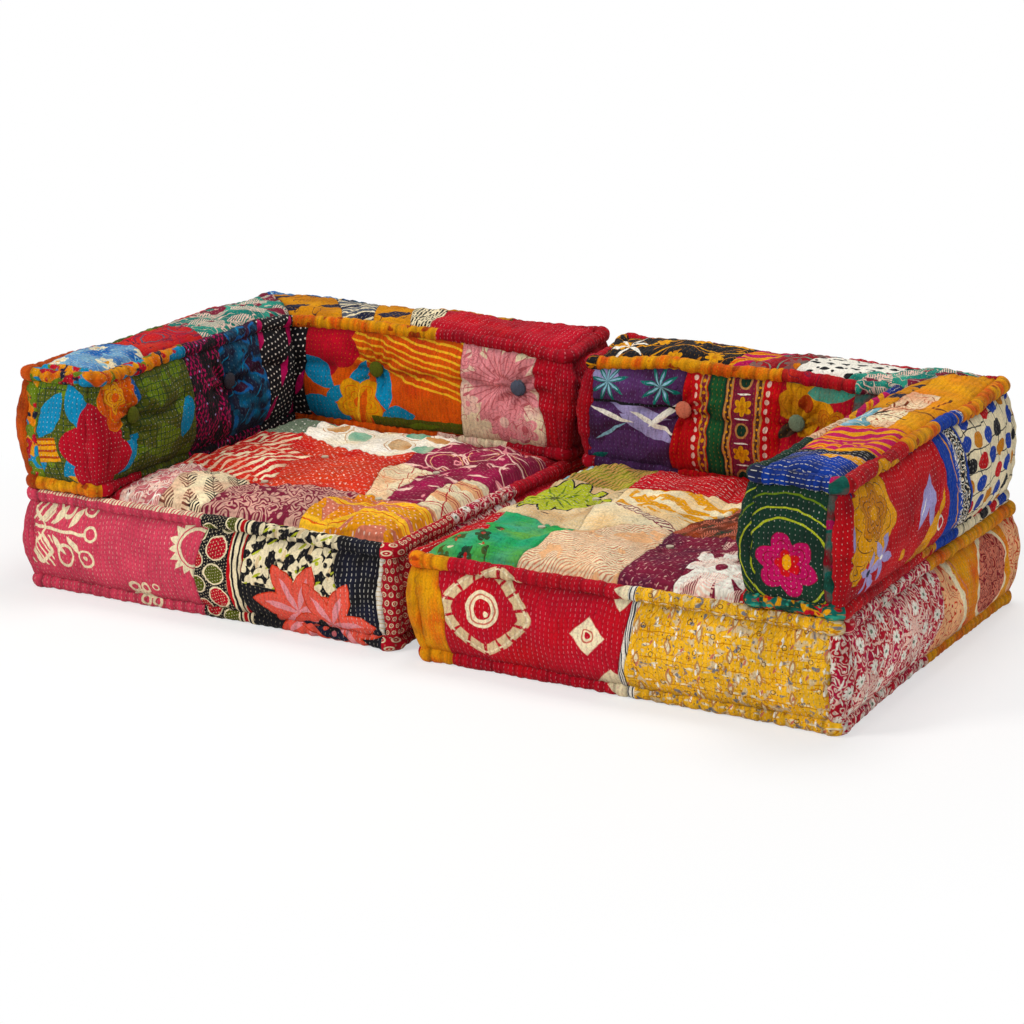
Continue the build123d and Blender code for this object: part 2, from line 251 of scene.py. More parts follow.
def add_mesh(name, points, polygons, materials, face_materials, uv, crease=None):
    """A mesh object from arrays: points in millimetres, polygons as a list of index arrays that
    each hold faces of one size, a material number for each face and uv in metres for each corner."""
    sizes = np.concatenate([np.full(len(block), block.shape[1]) for block in polygons])
    corners = np.concatenate([block.ravel() for block in polygons])
    mesh = bpy.data.meshes.new(name)
    mesh.vertices.add(len(points))
    mesh.loops.add(len(corners))
    mesh.polygons.add(len(sizes))
    mesh.vertices.foreach_set("co", (points * METRE).astype(np.float32).ravel())
    mesh.loops.foreach_set("vertex_index", corners.astype(np.int32))
    mesh.polygons.foreach_set("loop_start", (np.cumsum(sizes) - sizes).astype(np.int32))
    mesh.polygons.foreach_set("loop_total", sizes.astype(np.int32))
    for material in materials:
        mesh.materials.append(material)
    mesh.polygons.foreach_set("material_index", np.asarray(face_materials, np.int32))
    layer = mesh.uv_layers.new(name="cloth")
    layer.data.foreach_set("uv", (uv * METRE).astype(np.float32).ravel())
    # crease is painted shade: how far the colour is darkened at each point
    if crease is not None:
        attribute = mesh.attributes.new("crease", "FLOAT", "POINT")
        attribute.data.foreach_set("value", crease.astype(np.float32).ravel())
    mesh.update(calc_edges=True)
    mesh.validate()
    mesh.polygons.foreach_set("use_smooth", np.ones(len(sizes), bool))
    piece = bpy.data.objects.new(name, mesh)
    bpy.context.scene.collection.objects.link(piece)
    return piece


def capped_tube(rows, columns, start, flip):
    """The faces of a tube of rings of points from start on, closed by a pole at either end."""
    first = start + np.arange(columns)
    last = first + (rows - 1) * columns
    pole = start + rows * columns
    quads = grid_quads(rows, columns, start, wrap=True)
    foot = np.stack([first, np.roll(first, -1), np.full(columns, pole)], -1)
    head = np.stack([np.roll(last, -1), last, np.full(columns, pole + 1)], -1)
    if flip:
        return quads[:, ::-1], foot[:, [1, 0, 2]], head[:, [1, 0, 2]]
    return quads, foot, head


def grid_quads(rows, columns, start=0, wrap=False):
    """The quads of a grid of points, row by row, with the last column joined to the first if wrap."""
    index = start + np.arange(rows * columns).reshape(rows, columns)
    if wrap:
        index = np.concatenate([index, index[:, :1]], axis=1)
    return np.stack([index[:-1, :-1], index[1:, :-1], index[1:, 1:], index[:-1, 1:]], -1).reshape(-1, 4)


# The quilted panels

SPACING = 5.0
SEAM_WIDTH = 3.0
SEAM_DEPTH = 1.8
PUCKER_PITCH = 23.0
PUCKER_DEPTH = 3.6
PUCKER_REACH = 30.0
PUCKER_WANDER = 7.0
PUCKER_WANDER_LENGTH = 90.0
PUCKER_UNEVEN = 0.6
PUCKER_UNEVEN_LENGTH = 60.0
# How far the painted shade near a panel's edges reaches, and how dark the painted shade in its seams is
RIM_SHADE_REACH = 7.0
SEAM_SHADE = 0.6
SEAM_WANDER = 3.0
SEAM_WANDER_LENGTH = 130.0
SEAM_HOLD = 40.0
PAD_THICKNESS = 8.0


def steps_between(cuts, spacing=SPACING):
    """Positions along one side of a quilt: each seam, a point close to it on either side and even
    steps between, with the number of the patch that each step belongs to."""
    places, owners = [], []
    for number, (start, end) in enumerate(zip(cuts, cuts[1:])):
        margin = min(SEAM_WIDTH, (end - start) / 4)
        inner = np.linspace(start + margin, end - margin, max(int((end - start) / spacing), 2))
        places.append(np.concatenate([[start], inner]))
        owners += [number] * (len(inner) + 1)
    return np.concatenate(places + [[cuts[-1]]]), np.array(owners)


def bend_seams(u, v, bends, u_ends, v_ends):
    """Draws the seams out of line: each bend moves the cloth at a place by du and dv, fading over
    its reach, and nothing moves at the panel's own edges."""
    du, dv = np.zeros_like(u), np.zeros_like(v)
    for place_u, place_v, move_u, move_v, reach in bends:
        pull = np.exp(-((u - place_u) ** 2 + (v - place_v) ** 2) / reach ** 2)
        du += move_u * pull
        dv += move_v * pull
    flat = np.stack([u, v], -1)
    du += SEAM_WANDER * ripples(flat, SEAM_WANDER_LENGTH, "seam u")
    dv += SEAM_WANDER * ripples(flat, SEAM_WANDER_LENGTH, "seam v")
    du *= smooth(np.minimum(u - u_ends[0], u_ends[1] - u) / SEAM_HOLD)
    dv *= smooth(np.minimum(v - v_ends[0], v_ends[1] - v) / SEAM_HOLD)
    return u + du, v + dv


def quilt(node, side, cushion, face, slot, cuts, rows, patches, height, bends=(), mitre=None,
          pucker=1.0, back=PAD_THICKNESS, spacing=SPACING, start=0, shadow=None):
    """A quilted panel as a closed pad. Its outer side is a grid of patches cut at cuts along u and
    at rows along v, named from the top row down in patches. It stands height(u, v) out of its face,
    less a groove along each seam and the puckers that the edge stitches draw. Its back lies flat at
    back behind the edges. mitre names the edge that runs aslant and where it starts and ends, and
    shadow(u, v) is how dark its creases are."""
    u_line, u_owner = steps_between(cuts, spacing)
    v_line, v_owner = steps_between(rows, spacing)
    u, v = np.meshgrid(u_line, v_line, indexing="ij")
    codes = np.array([list(row) for row in patches[::-1]])
    owner = codes[v_owner[None, :], u_owner[:, None]]
    edge = np.zeros(u.shape, bool)
    edge[1:-1, :] |= (owner[1:, :] != owner[:-1, :])[:, np.r_[0:owner.shape[1], owner.shape[1] - 1]]
    edge[:, 1:-1] |= (owner[:, 1:] != owner[:, :-1])[np.r_[0:owner.shape[0], owner.shape[0] - 1], :]
    seam = edge.astype(float)
    u, v = bend_seams(u, v, bends, (cuts[0], cuts[-1]), (rows[0], rows[-1]))
    span_u, span_v = cuts[-1] - cuts[0], rows[-1] - rows[0]
    share_u, share_v = (u - cuts[0]) / span_u, (v - rows[0]) / span_v
    left, right, far = (np.full_like(u, place) for place in (cuts[0], cuts[-1], rows[-1]))
    if mitre is not None:
        edge_name, one, other = mitre
        far = one + (other - one) * share_u if edge_name == "far" else far
        left = one + (other - one) * share_v if edge_name == "left" else left
        right = one + (other - one) * share_v if edge_name == "right" else right
        u, v = left + (right - left) * share_u, rows[0] + (far - rows[0]) * share_v
    w = height(u, v)
    from_side = np.minimum(u - left, right - u)
    from_end = np.minimum(v - rows[0], far - v)
    flat = np.stack([u, v], -1)
    wander = PUCKER_WANDER * ripples(flat, PUCKER_WANDER_LENGTH, node + "pucker")
    uneven = 1 + PUCKER_UNEVEN * ripples(flat, PUCKER_UNEVEN_LENGTH, node + "uneven")
    along_side = np.abs(np.sin(math.pi * (v + wander) / PUCKER_PITCH)) * uneven
    along_end = np.abs(np.sin(math.pi * (u + wander) / PUCKER_PITCH)) * uneven
    w -= pucker * PUCKER_DEPTH * (1 - along_side) * np.exp(-np.maximum(from_side, 0) / PUCKER_REACH)
    w -= pucker * PUCKER_DEPTH * (1 - along_end) * np.exp(-np.maximum(from_end, 0) / PUCKER_REACH)
    w -= SEAM_DEPTH * seam
    outer = face.at(u, v, w)
    count_u, count_v = u.shape
    level = min(w.min(), 0) - back
    low = face.at(u[:, 0], v[:, 0], np.full(count_u, level))
    high = face.at(u[:, -1], v[:, -1], np.full(count_u, level))
    points = settle(np.concatenate([outer.reshape(-1, 3), low, high]), side, cushion)
    front = grid_quads(count_u, count_v)
    index = np.arange(count_u * count_v).reshape(count_u, count_v)
    low_index = count_u * count_v + np.arange(count_u)
    high_index = low_index + count_u
    strips = [(low_index, index[:, 0]), (index[:, -1], high_index), (high_index, low_index)]
    sides = [np.stack([a[:-1], a[1:], b[1:], b[:-1]], -1) for a, b in strips]
    near_cap = np.concatenate([index[0, :], [high_index[0], low_index[0]]])[None, :]
    far_cap = np.concatenate([index[-1, ::-1], [low_index[-1], high_index[-1]]])[None, :]
    used = sorted(set("".join(patches)))
    number = {code: place for place, code in enumerate(used)}
    face_codes = np.vectorize(number.get)(owner).ravel()
    plain = np.zeros(3 * (count_u - 1) + 2, int)
    flat = np.concatenate([flat.reshape(-1, 2), flat[:, 0], flat[:, -1]])
    blocks = [front, *sides, near_cap, far_cap]
    uv = flat[np.concatenate([block.ravel() for block in blocks])] + np.array([start, 0])
    # Painted shade: the colour is darkened along each seam, near the panel's edges where the rolls meet
    # it, in the creases that shadow gives, and fully on its back and sides
    rim = np.exp(-np.maximum(np.minimum(from_side, from_end), 0) / RIM_SHADE_REACH) * min(pucker, 1)
    dark = np.maximum(SEAM_SHADE * seam, rim)
    if shadow is not None:
        dark = np.maximum(dark, shadow(u, v))
    crease = np.concatenate([dark.ravel(), np.ones(2 * count_u)])
    piece = add_mesh(node + "_cloth", points, blocks, [FABRICS[code] for code in used],
                     np.concatenate([face_codes, plain]), uv, crease)
    return finish_piece(piece, side, cushion, node, slot)


def finish_piece(piece, side, cushion, node, slot):
    """Puts a piece under its cushion's body and hides the node of the imported model that it stands
    for. slot is not used.
    """
    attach(piece, side + "_" + cushion)
    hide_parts(node)
    return piece


# Padded bands between the rolls

COVER = 5.0
BAND_TUCK_U = 14.0
BAND_TUCK_V = 7.0
BAND_END_SHARE = 0.4
BULGE_REACH = 100.0
BUTTON_REACH = 50.0
BUTTON_WELL = 15.0
PLEATS = 9
PLEAT_DEPTH = 5.5
PLEAT_REACH = 36.0
PLEAT_SWAY = 1.3
PLEAT_SWAY_LENGTH = 60.0
LUMP_DEPTH = 1.92
LUMP_LENGTH = 150.0
SMALL_LUMP_SHARE = 0.6
SMALL_LUMP_LENGTH = 60.0
WRINKLE_DEPTH = 0.78
WRINKLE_LENGTH = 24.0
FOLD_DEPTH = 2.8
FOLD_LENGTH = 70.0
FOLD_WIDTH = 0.28
FOLD_PATCH_LENGTH = 120.0
ARCH_POWER = 0.85
WELL_LEVEL = 2.0
WAIST_DEPTH = 14.0
WAIST_REACH = 13.0
WAIST_WANDER = 7.0
WAIST_WANDER_LENGTH = 150.0
WAIST_CHANGE_LENGTH = 110.0
WAIST_SHADOW = 0.85
WAIST_SHADOW_REACH = 7.0
WELL_SHADOW = 0.6


def button_pull(u, v, places, name):
    """How far each button draws the cloth in, 1 under it and fading as a bell curve, and the radial
    pleats that it gathers: a wave round the button that rises to a ring and dies away outside it."""
    pull, pleats = np.zeros_like(u), np.zeros_like(u)
    for number, (place_u, place_v) in enumerate(places):
        away = np.hypot(u - place_u, v - place_v)
        turn = np.arctan2(v - place_v, u - place_u)
        pull = np.maximum(pull, np.exp(-(np.maximum(away - BUTTON_WELL, 0) / BUTTON_REACH) ** 2))
        around = np.stack([away, 40 * np.sin(turn)], -1)
        sway = PLEAT_SWAY * ripples(around, PLEAT_SWAY_LENGTH, name + str(number))
        ring = away / PLEAT_REACH * np.exp(1 - away / PLEAT_REACH)
        pleats += np.sin(PLEATS * turn + sway) * ring ** 2
    return pull, pleats


def lumps(u, v, name):
    """The uneven filling: broad lumps, smaller ones across them, fine wrinkles, and here and there a
    fold, along the zero line of soft waves that are longer up than along."""
    flat = np.stack([u, v], -1)
    broad = ripples(flat, LUMP_LENGTH, name + "broad")
    broad += SMALL_LUMP_SHARE * ripples(flat, SMALL_LUMP_LENGTH, name + "middle")
    fine = ripples(flat, WRINKLE_LENGTH, name + "fine")
    fold = ripples(np.stack([1.6 * u, 0.5 * v], -1), FOLD_LENGTH, name + "fold")
    some = smooth(0.5 + 0.9 * ripples(flat, FOLD_PATCH_LENGTH, name + "where"))
    fold = -np.exp(-(fold / FOLD_WIDTH) ** 2) * some
    return LUMP_DEPTH * broad + WRINKLE_DEPTH * fine + FOLD_DEPTH * fold


def trimmed(start, end, cuts):
    """The seams that lie between start and end, with both ends, and how many lie before start."""
    kept = [cut for cut in cuts if start + 8 < cut < end - 8]
    return [start, *kept, end], len([cut for cut in cuts if cut <= start + 8])


def band(side, face_name, layout):
    """A padded band: it bulges between its rolls as an arch of its height and rounds down at its
    ends. A button draws it in to its seat, and an uneven crease runs along it at the buttons' height,
    whose depth falls off as an exponential on either side."""
    cushion = "seat" if face_name.startswith("seat") else "backrest"
    node = side + "_" + face_name + "_band"
    face = FACES[side][face_name]
    low, high = node_box(node)
    (u_a, v_a), (u_b, v_b) = face.flat(low), face.flat(high)
    u0, u1 = min(u_a, u_b) - BAND_TUCK_U, max(u_a, u_b) + BAND_TUCK_U
    v0, v1 = min(v_a, v_b) - BAND_TUCK_V, max(v_a, v_b) + BAND_TUCK_V
    bulge = abs((high - low) @ face.out) - COVER
    buttoned = face_name in ("arm_inner", "back_inner")
    places = [face.flat(p) for p in MODULE[side]["buttons"]
              if buttoned and abs((p - face.corner) @ face.out) < BUTTON_FACE_REACH]

    def waist(u, v):
        """How far a place is from the crease and how deep the crease is there."""
        along = np.stack([u, 0 * v], -1)
        line = places[0][1] + WAIST_WANDER * ripples(along, WAIST_WANDER_LENGTH, node + "waist")
        deep = smooth(0.8 + 0.7 * ripples(along, WAIST_CHANGE_LENGTH, node + "deep"))
        return np.abs(v - line), deep

    def shadow(u, v):
        """How dark the cloth is in the crease and under the rims of the buttons."""
        off, deep = waist(u, v)
        dark = WAIST_SHADOW * deep * np.exp(-off / WAIST_SHADOW_REACH)
        return np.maximum(dark, WELL_SHADOW * button_pull(u, v, places, node)[0] ** 6)

    def height(u, v):
        share = (v - (v0 + v1) / 2) / ((v1 - v0) / 2 - BAND_TUCK_V)
        arch = np.sign(1 - share ** 2) * np.abs(1 - share ** 2) ** ARCH_POWER
        full = rounded_rise(u - u0, u1 - u0, BULGE_REACH)
        full = bulge * (BAND_END_SHARE + (1 - BAND_END_SHARE) * full)
        swell = -bulge + full * arch
        if places:
            off, deep = waist(u, v)
            swell = swell - WAIST_DEPTH * deep * np.exp(-off / WAIST_REACH) * full / bulge
        pull, pleats = button_pull(u, v, places, node)
        level = -bulge + WELL_LEVEL
        soft = lumps(u, v, node) * np.clip(arch, 0, 1)
        return swell + (level - swell) * pull + PLEAT_DEPTH * pleats + soft * (1 - pull)

    cuts, first = trimmed(u0, u1, layout["cuts"])
    rows, bottom = trimmed(v0, v1, layout["rows"])
    patches = layout["patches"][::-1][bottom:bottom + len(rows) - 1][::-1]
    patches = [row[first:first + len(cuts) - 1] for row in patches]
    slot = side + {"seat": "_seat_side_quilt", "arm": "_arm_quilt", "back": "_back_quilt"}[
        face_name.split("_")[0]]
    return quilt(node, side, cushion, face, slot, cuts, rows, patches, height,
                 layout["bends"], start=layout["start"], shadow=shadow if places else None)


# The tops

TOP_INSET = 35.0
TOP_DROP = 12.0
TOP_RISE_REACH = 15.0
CROWN_REACH = 110.0
CROWN_VALLEY = 0.24
CROWN_STEP = 3.0
TUFT_WELL = 9.0
TUFT_SPREAD = 62.0
TUFT_PLEATS = 8
TUFT_RING = 30.0
TUFT_PLEAT_DEPTH = 3.4
TUFT_SINK = 1.5
VALLEY_REACH = 34.0
VALLEY_MOST = 1.3
SEAT_LUMPS = 1.8
SEAT_SPACING = 4.6
THIN_BACK = 4.0
UNDER_BACKREST = 1.0


def seat_top(side, layout):
    """The seat's quilted top. It is flat under the backrest. Where one sits it rises from the edge
    roll round a quarter circle to a crown, with a shallow valley along each row of tufts, and each
    tuft draws it down to its knot."""
    m = MODULE[side]
    face = FACES[side]["seat_top"]
    node = side + "_seat_top_panel"
    width, depth = m["x1"] - m["x0"], m["y1"] - m["y0"]
    edge = m["setback"] + 2 * m["roll"] + 6
    low_u = m["arm_x"] - m["x0"] - m["setback"] if side == "left" else edge
    high_u = width - edge if side == "left" else m["arm_x"] - m["x0"] + m["setback"]
    high_v = m["back_y"] - m["y0"] + m["setback"]
    crown = m["crown"] - CROWN_STEP
    tufts = [(*face.flat(p), p[2] - m["seat_top"] - TUFT_SINK) for p in m["tufts"]]
    tufts = [(u, v, z) for u, v, z in tufts if low_u < u < high_u and v < high_v]

    def height(u, v):
        inside = (u > low_u) & (u < high_u) & (v > edge) & (v < high_v)
        swell = rounded_rise(u - low_u, high_u - low_u, CROWN_REACH)
        swell = swell * rounded_rise(v - edge, high_v - edge, CROWN_REACH) * inside
        valley = np.zeros_like(u)
        for tuft_u, tuft_v, _ in tufts:
            valley += np.exp(-((u - tuft_u) / VALLEY_REACH) ** 2)
            valley += np.exp(-((v - tuft_v) / VALLEY_REACH) ** 2)
        valley = 1 - CROWN_VALLEY * np.minimum(valley, VALLEY_MOST)
        w = crown * swell * valley + CROWN_STEP * smooth(swell * 8)
        w = w + SEAT_LUMPS * lumps(u, v, node) * smooth(swell * 1.6)
        for number, (tuft_u, tuft_v, level) in enumerate(tufts):
            away = np.hypot(u - tuft_u, v - tuft_v)
            turn = np.arctan2(v - tuft_v, u - tuft_u)
            pull = np.exp(-(np.maximum(away - TUFT_WELL, 0) / TUFT_SPREAD) ** 1.5)
            ring = away / TUFT_RING * np.exp(1 - away / TUFT_RING)
            pleats = np.sin(TUFT_PLEATS * turn + number) * ring ** 2
            w = w + (level - w) * pull + TUFT_PLEAT_DEPTH * pleats * swell
        near = np.minimum(np.minimum(u, width - u), np.minimum(v, depth - v)) - TOP_INSET
        w = np.where(inside, w, -UNDER_BACKREST)
        return w - TOP_DROP * np.exp(-(np.maximum(near, 0) / TOP_RISE_REACH) ** 2)

    cuts = trimmed(TOP_INSET, width - TOP_INSET, layout["cuts"])[0]
    rows = trimmed(TOP_INSET, depth - TOP_INSET, layout["rows"])[0]
    return quilt(node, side, "seat", face, side + "_seat_quilt", cuts, rows, layout["patches"],
                 height, layout["bends"], back=THIN_BACK, spacing=SEAT_SPACING)


TOP_CROWN = 11.0
TOP_DIMPLES = {"arm": (0.30, 0.62), "back": (0.42, 0.74)}
DIMPLE_DEPTH = 0.8
DIMPLE_REACH = 42.0
DIMPLE_WIDTH = 0.3
TOP_END_SHARE = 0.45
TOP_END_REACH = 90.0
TOP_LUMPS = 1.2


def backrest_top(side, part, layout):
    """A padded top of the backrest, mitred at the corner: an arch across its width, lower at its
    free end and where a stitch draws it in."""
    m = MODULE[side]
    face = FACES[side]["top"]
    node = side + "_" + part + "_top_panel"
    width, depth = m["x1"] - m["x0"], m["y1"] - m["y0"]
    arm = (m["arm_x"] - m["x0"]) if side == "left" else (m["x1"] - m["arm_x"])
    rest = m["y1"] - m["back_y"]
    inner_v, outer_v = depth - rest + TOP_INSET, depth - TOP_INSET
    if side == "left":
        outer_u, inner_u = TOP_INSET, arm - TOP_INSET
    else:
        outer_u, inner_u = width - TOP_INSET, width - arm + TOP_INSET
    if part == "arm":
        u0, u1, v0, v1 = min(outer_u, inner_u), max(outer_u, inner_u), TOP_INSET, outer_v
        mitre = ("far", outer_v, inner_v) if side == "left" else ("far", inner_v, outer_v)
    else:
        u0, u1 = (outer_u, width - TOP_INSET) if side == "left" else (TOP_INSET, outer_u)
        v0, v1 = inner_v, outer_v
        mitre = ("left", inner_u, outer_u) if side == "left" else ("right", inner_u, outer_u)

    def height(u, v):
        if part == "arm":
            across, along, length = (u - u0) / (u1 - u0), v - v0, outer_v - v0
        else:
            across = (v - v0) / (v1 - v0)
            along, length = (u1 - u, u1 - u0) if side == "left" else (u - u0, u1 - u0)
        arch = np.clip(1 - (2 * across - 1) ** 2, 0, 1)
        full = rounded_rise(along, 2 * length, TOP_END_REACH)
        full = TOP_END_SHARE + (1 - TOP_END_SHARE) * full
        dip = np.zeros_like(u)
        for share in TOP_DIMPLES[part]:
            dip += np.exp(-((along - share * length) / DIMPLE_REACH) ** 2)
        dip *= np.exp(-((across - 0.5) / DIMPLE_WIDTH) ** 2)
        w = TOP_CROWN * arch ** 0.7 * full * (1 - DIMPLE_DEPTH * dip)
        w = w + TOP_LUMPS * lumps(u, v, side + "top") * arch
        near = np.minimum(across, 1 - across) * (u1 - u0 if part == "arm" else v1 - v0)
        near = np.minimum(near, along)
        return w - TOP_DROP * np.exp(-(np.maximum(near, 0) / TOP_RISE_REACH) ** 2)

    cuts, rows = trimmed(u0, u1, layout["cuts"])[0], trimmed(v0, v1, layout["rows"])[0]
    return quilt(node, side, "backrest", face, side + "_top_quilt", cuts, rows,
                 layout["patches"], height, layout["bends"], mitre)


UNDERSIDE_GAP = 0.3
UNDERSIDE_ROUND = 4.0
UNDERSIDE_SPACING = 16.0


def underside(side, cushion, part):
    """A plain underside panel, all but flat, that the cushion rests on."""
    m = MODULE[side]
    width, depth = m["x1"] - m["x0"], m["y1"] - m["y0"]
    face = FACES[side]["seat_bottom" if cushion == "seat" else "underside"]
    node = side + ("_seat_bottom_panel" if cushion == "seat" else "_" + part + "_bottom_panel")
    arm, rest = abs(m["arm_x"] - (m["x0"] if side == "left" else m["x1"])), m["y1"] - m["back_y"]
    far_inner, far_outer = depth - rest + TOP_INSET, depth - TOP_INSET
    if cushion == "seat":
        u0, u1, v0, v1, mitre = TOP_INSET, width - TOP_INSET, TOP_INSET, depth - TOP_INSET, None
    elif part == "arm" and side == "left":
        u0, u1, v0, v1 = width - arm + TOP_INSET, width - TOP_INSET, TOP_INSET, far_outer
        mitre = ("far", far_inner, far_outer)
    elif part == "arm":
        u0, u1, v0, v1 = TOP_INSET, arm - TOP_INSET, TOP_INSET, far_outer
        mitre = ("far", far_outer, far_inner)
    else:
        u0, u1, v0, v1 = TOP_INSET, width - TOP_INSET, far_inner, far_outer
        left_mitre = ("right", width - arm + TOP_INSET, u1)
        mitre = left_mitre if side == "left" else ("left", arm - TOP_INSET, u0)

    def height(u, v):
        near = np.minimum(np.minimum(u - u0, u1 - u), np.minimum(v - v0, v1 - v))
        rise = np.exp(-(np.maximum(near, 0) / TOP_RISE_REACH) ** 2)
        return -UNDERSIDE_GAP - UNDERSIDE_ROUND * rise

    return quilt(node, side, cushion, face, "plain_underside_cloth", [u0, u1], [v0, v1], ["_"],
                 height, mitre=mitre, pucker=0.0, back=THIN_BACK, spacing=UNDERSIDE_SPACING)


# The rolls

ROLL_STEP = 5.0
ROLL_SIDES = 22
ROLL_CORNER = 20.0
ROLL_SWAY = 0.8
ROLL_LIFT = 0.96
ROLL_LEAST = 0.86
ROLL_PILLOW = 0.13
ROLL_PINCH = 0.05
ROLL_PINCH_RATE = 2.17
ROLL_GRAIN = 0.05
ROLL_CREASE = 0.035
DRAW_IN_SHARE = 0.007
EAR_SWELL = 0.13
EAR_REACH = 24.0
EAR_PUSH = 4.5


def roll_path(faces, inset):
    """The line of a roll round a closed outline of faces, inset from them: each side sags inwards
    as a parabola and each corner is a Bezier arc. Gives the points, the distance along the line,
    the number of the side, its u, and how far each point is from the nearest outer corner."""
    count = len(faces)
    outs = [face.out for face in faces]
    corners = [faces[k].corner - inset * (outs[k - 1] + outs[k]) for k in range(count)]
    ties = [np.cross(outs[k - 1], outs[k])[2] > 0 for k in range(count)]
    points, sides, places = [], [], []
    for k, face in enumerate(faces):
        start, end = corners[k], corners[(k + 1) % count]
        length = np.linalg.norm(end - start)
        way = (end - start) / length
        steps = np.linspace(ROLL_CORNER, length - ROLL_CORNER, int(length / ROLL_STEP))
        share = steps / length
        sag = DRAW_IN_SHARE * length * (1 - (2 * share - 1) ** 2)
        points.append(start + steps[:, None] * way - sag[:, None] * face.out)
        sides.append(np.full(len(steps), k))
        places.append(steps + inset)
        after = corners[(k + 2) % count] - end
        after = after / np.linalg.norm(after)
        t = np.linspace(0, 1, 8)[1:-1, None]
        first, last = end - way * ROLL_CORNER, end + after * ROLL_CORNER
        points.append((1 - t) ** 2 * first + 2 * t * (1 - t) * end + t ** 2 * last)
        late = t[:, 0] > 0.5
        sides.append(np.where(late, (k + 1) % count, k))
        places.append(np.where(late, inset, length + inset))
    points, sides, places = np.concatenate(points), np.concatenate(sides), np.concatenate(places)
    gaps = np.linalg.norm(np.roll(points, -1, 0) - points, axis=1)
    along = inset + np.concatenate([[0], np.cumsum(gaps)])
    outer = np.array([corners[k] for k in range(count) if ties[k]])
    ear = np.linalg.norm(points[:, None, :2] - outer[None, :, :2], axis=2)
    return points, along, sides, places, ear.min(1)


def edge_roll(side, cushion, level, order, layouts):
    """The stuffed roll along an edge, as a closed tube: its radius swells between stitches, ripples
    and grows to an ear at each outer corner. A lower roll is pressed flat underneath."""
    m = MODULE[side]
    node = side + "_" + cushion + "_" + level + "_roll"
    low, high = node_box(node)
    faces = [FACES[side][name] for name in order]
    path, along, sides, places, ear = roll_path(faces, m["setback"] + m["roll"])
    path[:, 2] = high[2] - m["roll"] if level == "top" else low[2] + m["roll"] - 0.5
    total = along[-1] - along[0]
    ahead = np.roll(path, -1, 0) - np.roll(path, 1, 0)
    ahead /= np.linalg.norm(ahead, axis=1)[:, None]
    out = np.stack([ahead[:, 1], -ahead[:, 0], np.zeros(len(path))], -1)
    s = along[:-1]
    count = round(total / PUCKER_PITCH)
    phase = math.pi * count * (s - s[0]) / total
    wobble = ripples(path[:, :2], 70, node + "wobble")
    pillow = np.abs(np.sin(phase + 0.5 * wobble)) ** 0.8
    grow = EAR_SWELL * np.exp(-(ear / EAR_REACH) ** 2)
    pinch = np.abs(np.sin(ROLL_PINCH_RATE * phase + 1.3 * wobble))
    grain = ROLL_GRAIN * ripples(path[:, :2], 33, node + "fine")
    radius = m["roll"] * (ROLL_LEAST + ROLL_PILLOW * pillow + ROLL_PINCH * pinch + grain + grow)
    angle = np.linspace(-math.pi, math.pi, ROLL_SIDES + 1)[:-1]
    crease = ROLL_CREASE * np.sin(3 * angle[None, :] + 3 * wobble[:, None]) * (1 - pillow[:, None])
    spread = radius[:, None] * (1 + crease)
    push = EAR_PUSH * np.exp(-(ear / EAR_REACH) ** 2)
    centre = path + out * (push + ROLL_SWAY * ripples(path[:, :2], 110, node + "out"))[:, None]
    if level == "top":
        centre[:, 2] += ROLL_LIFT * ripples(path[:, :2], 90, node + "up") + 0.5 * push
    ring = np.cos(angle)[None, :, None] * out[:, None, :]
    ring = ring + np.sin(angle)[None, :, None] * np.array([0, 0, 1])
    points = centre[:, None, :] + spread[..., None] * ring
    if level == "bottom":
        points[..., 2] = np.maximum(points[..., 2], low[2])
    rows, columns = len(path), ROLL_SIDES
    index = np.arange(rows * columns).reshape(rows, columns)
    a, b = index, np.roll(index, -1, 0)
    quads = np.stack([a, np.roll(a, -1, 1), np.roll(b, -1, 1), b], -1).reshape(-1, 4)
    codes = []
    row_of = 0 if level == "top" else -1
    for k, u in zip(sides, places):
        layout = layouts[order[k]]
        codes.append(layout["patches"][row_of][sum(u > cut for cut in layout["cuts"])])
    used = sorted(set(codes))
    face_codes = np.repeat([used.index(code) for code in codes], columns)
    u_line = np.stack([along[:-1], along[1:], along[1:], along[:-1]], -1)[:, None, :]
    around = m["roll"] * np.linspace(-math.pi, math.pi, columns + 1)
    v_line = np.stack([around[:-1], around[:-1], around[1:], around[1:]], -1)[None, :, :]
    u_all = np.stack([u_line[..., 0], u_line[..., 0], u_line[..., 1], u_line[..., 1]], -1)
    v_all = np.stack([v_line[..., 0], v_line[..., 2], v_line[..., 2], v_line[..., 0]], -1)
    base = 0 if cushion == "seat" else m["base"]
    uv = np.stack(np.broadcast_arrays(u_all, v_all + path[0, 2] - base), -1).reshape(-1, 2)
    # Painted shade: the roll's colour is darkened where it narrows between its pillows and at its
    # pinches
    groove = np.repeat((1 - pillow)[:, None], columns, 1) * 0.6 + 0.5 * (1 - pinch)[:, None] ** 3
    points = settle(points.reshape(-1, 3), side, cushion)
    if level == "bottom":
        points[:, 2] = np.maximum(points[:, 2], low[2])
    piece = add_mesh(node + "_cloth", points, [quads], [FABRICS[code] for code in used], face_codes,
                     uv, groove.ravel())
    return finish_piece(piece, side, cushion, node, side + "_roll_cloth")


UPRIGHT_SIDES = 26
UPRIGHT_STEPS = 44
UPRIGHT_BOW = 13.0
UPRIGHT_SWELL = 7.0
UPRIGHT_LAP = 9.0
UPRIGHT_UNEVEN = 0.05
UPRIGHT_CREASE = 0.045
UPRIGHT_BULK = 0.03
UPRIGHT_GRAIN = 24.0


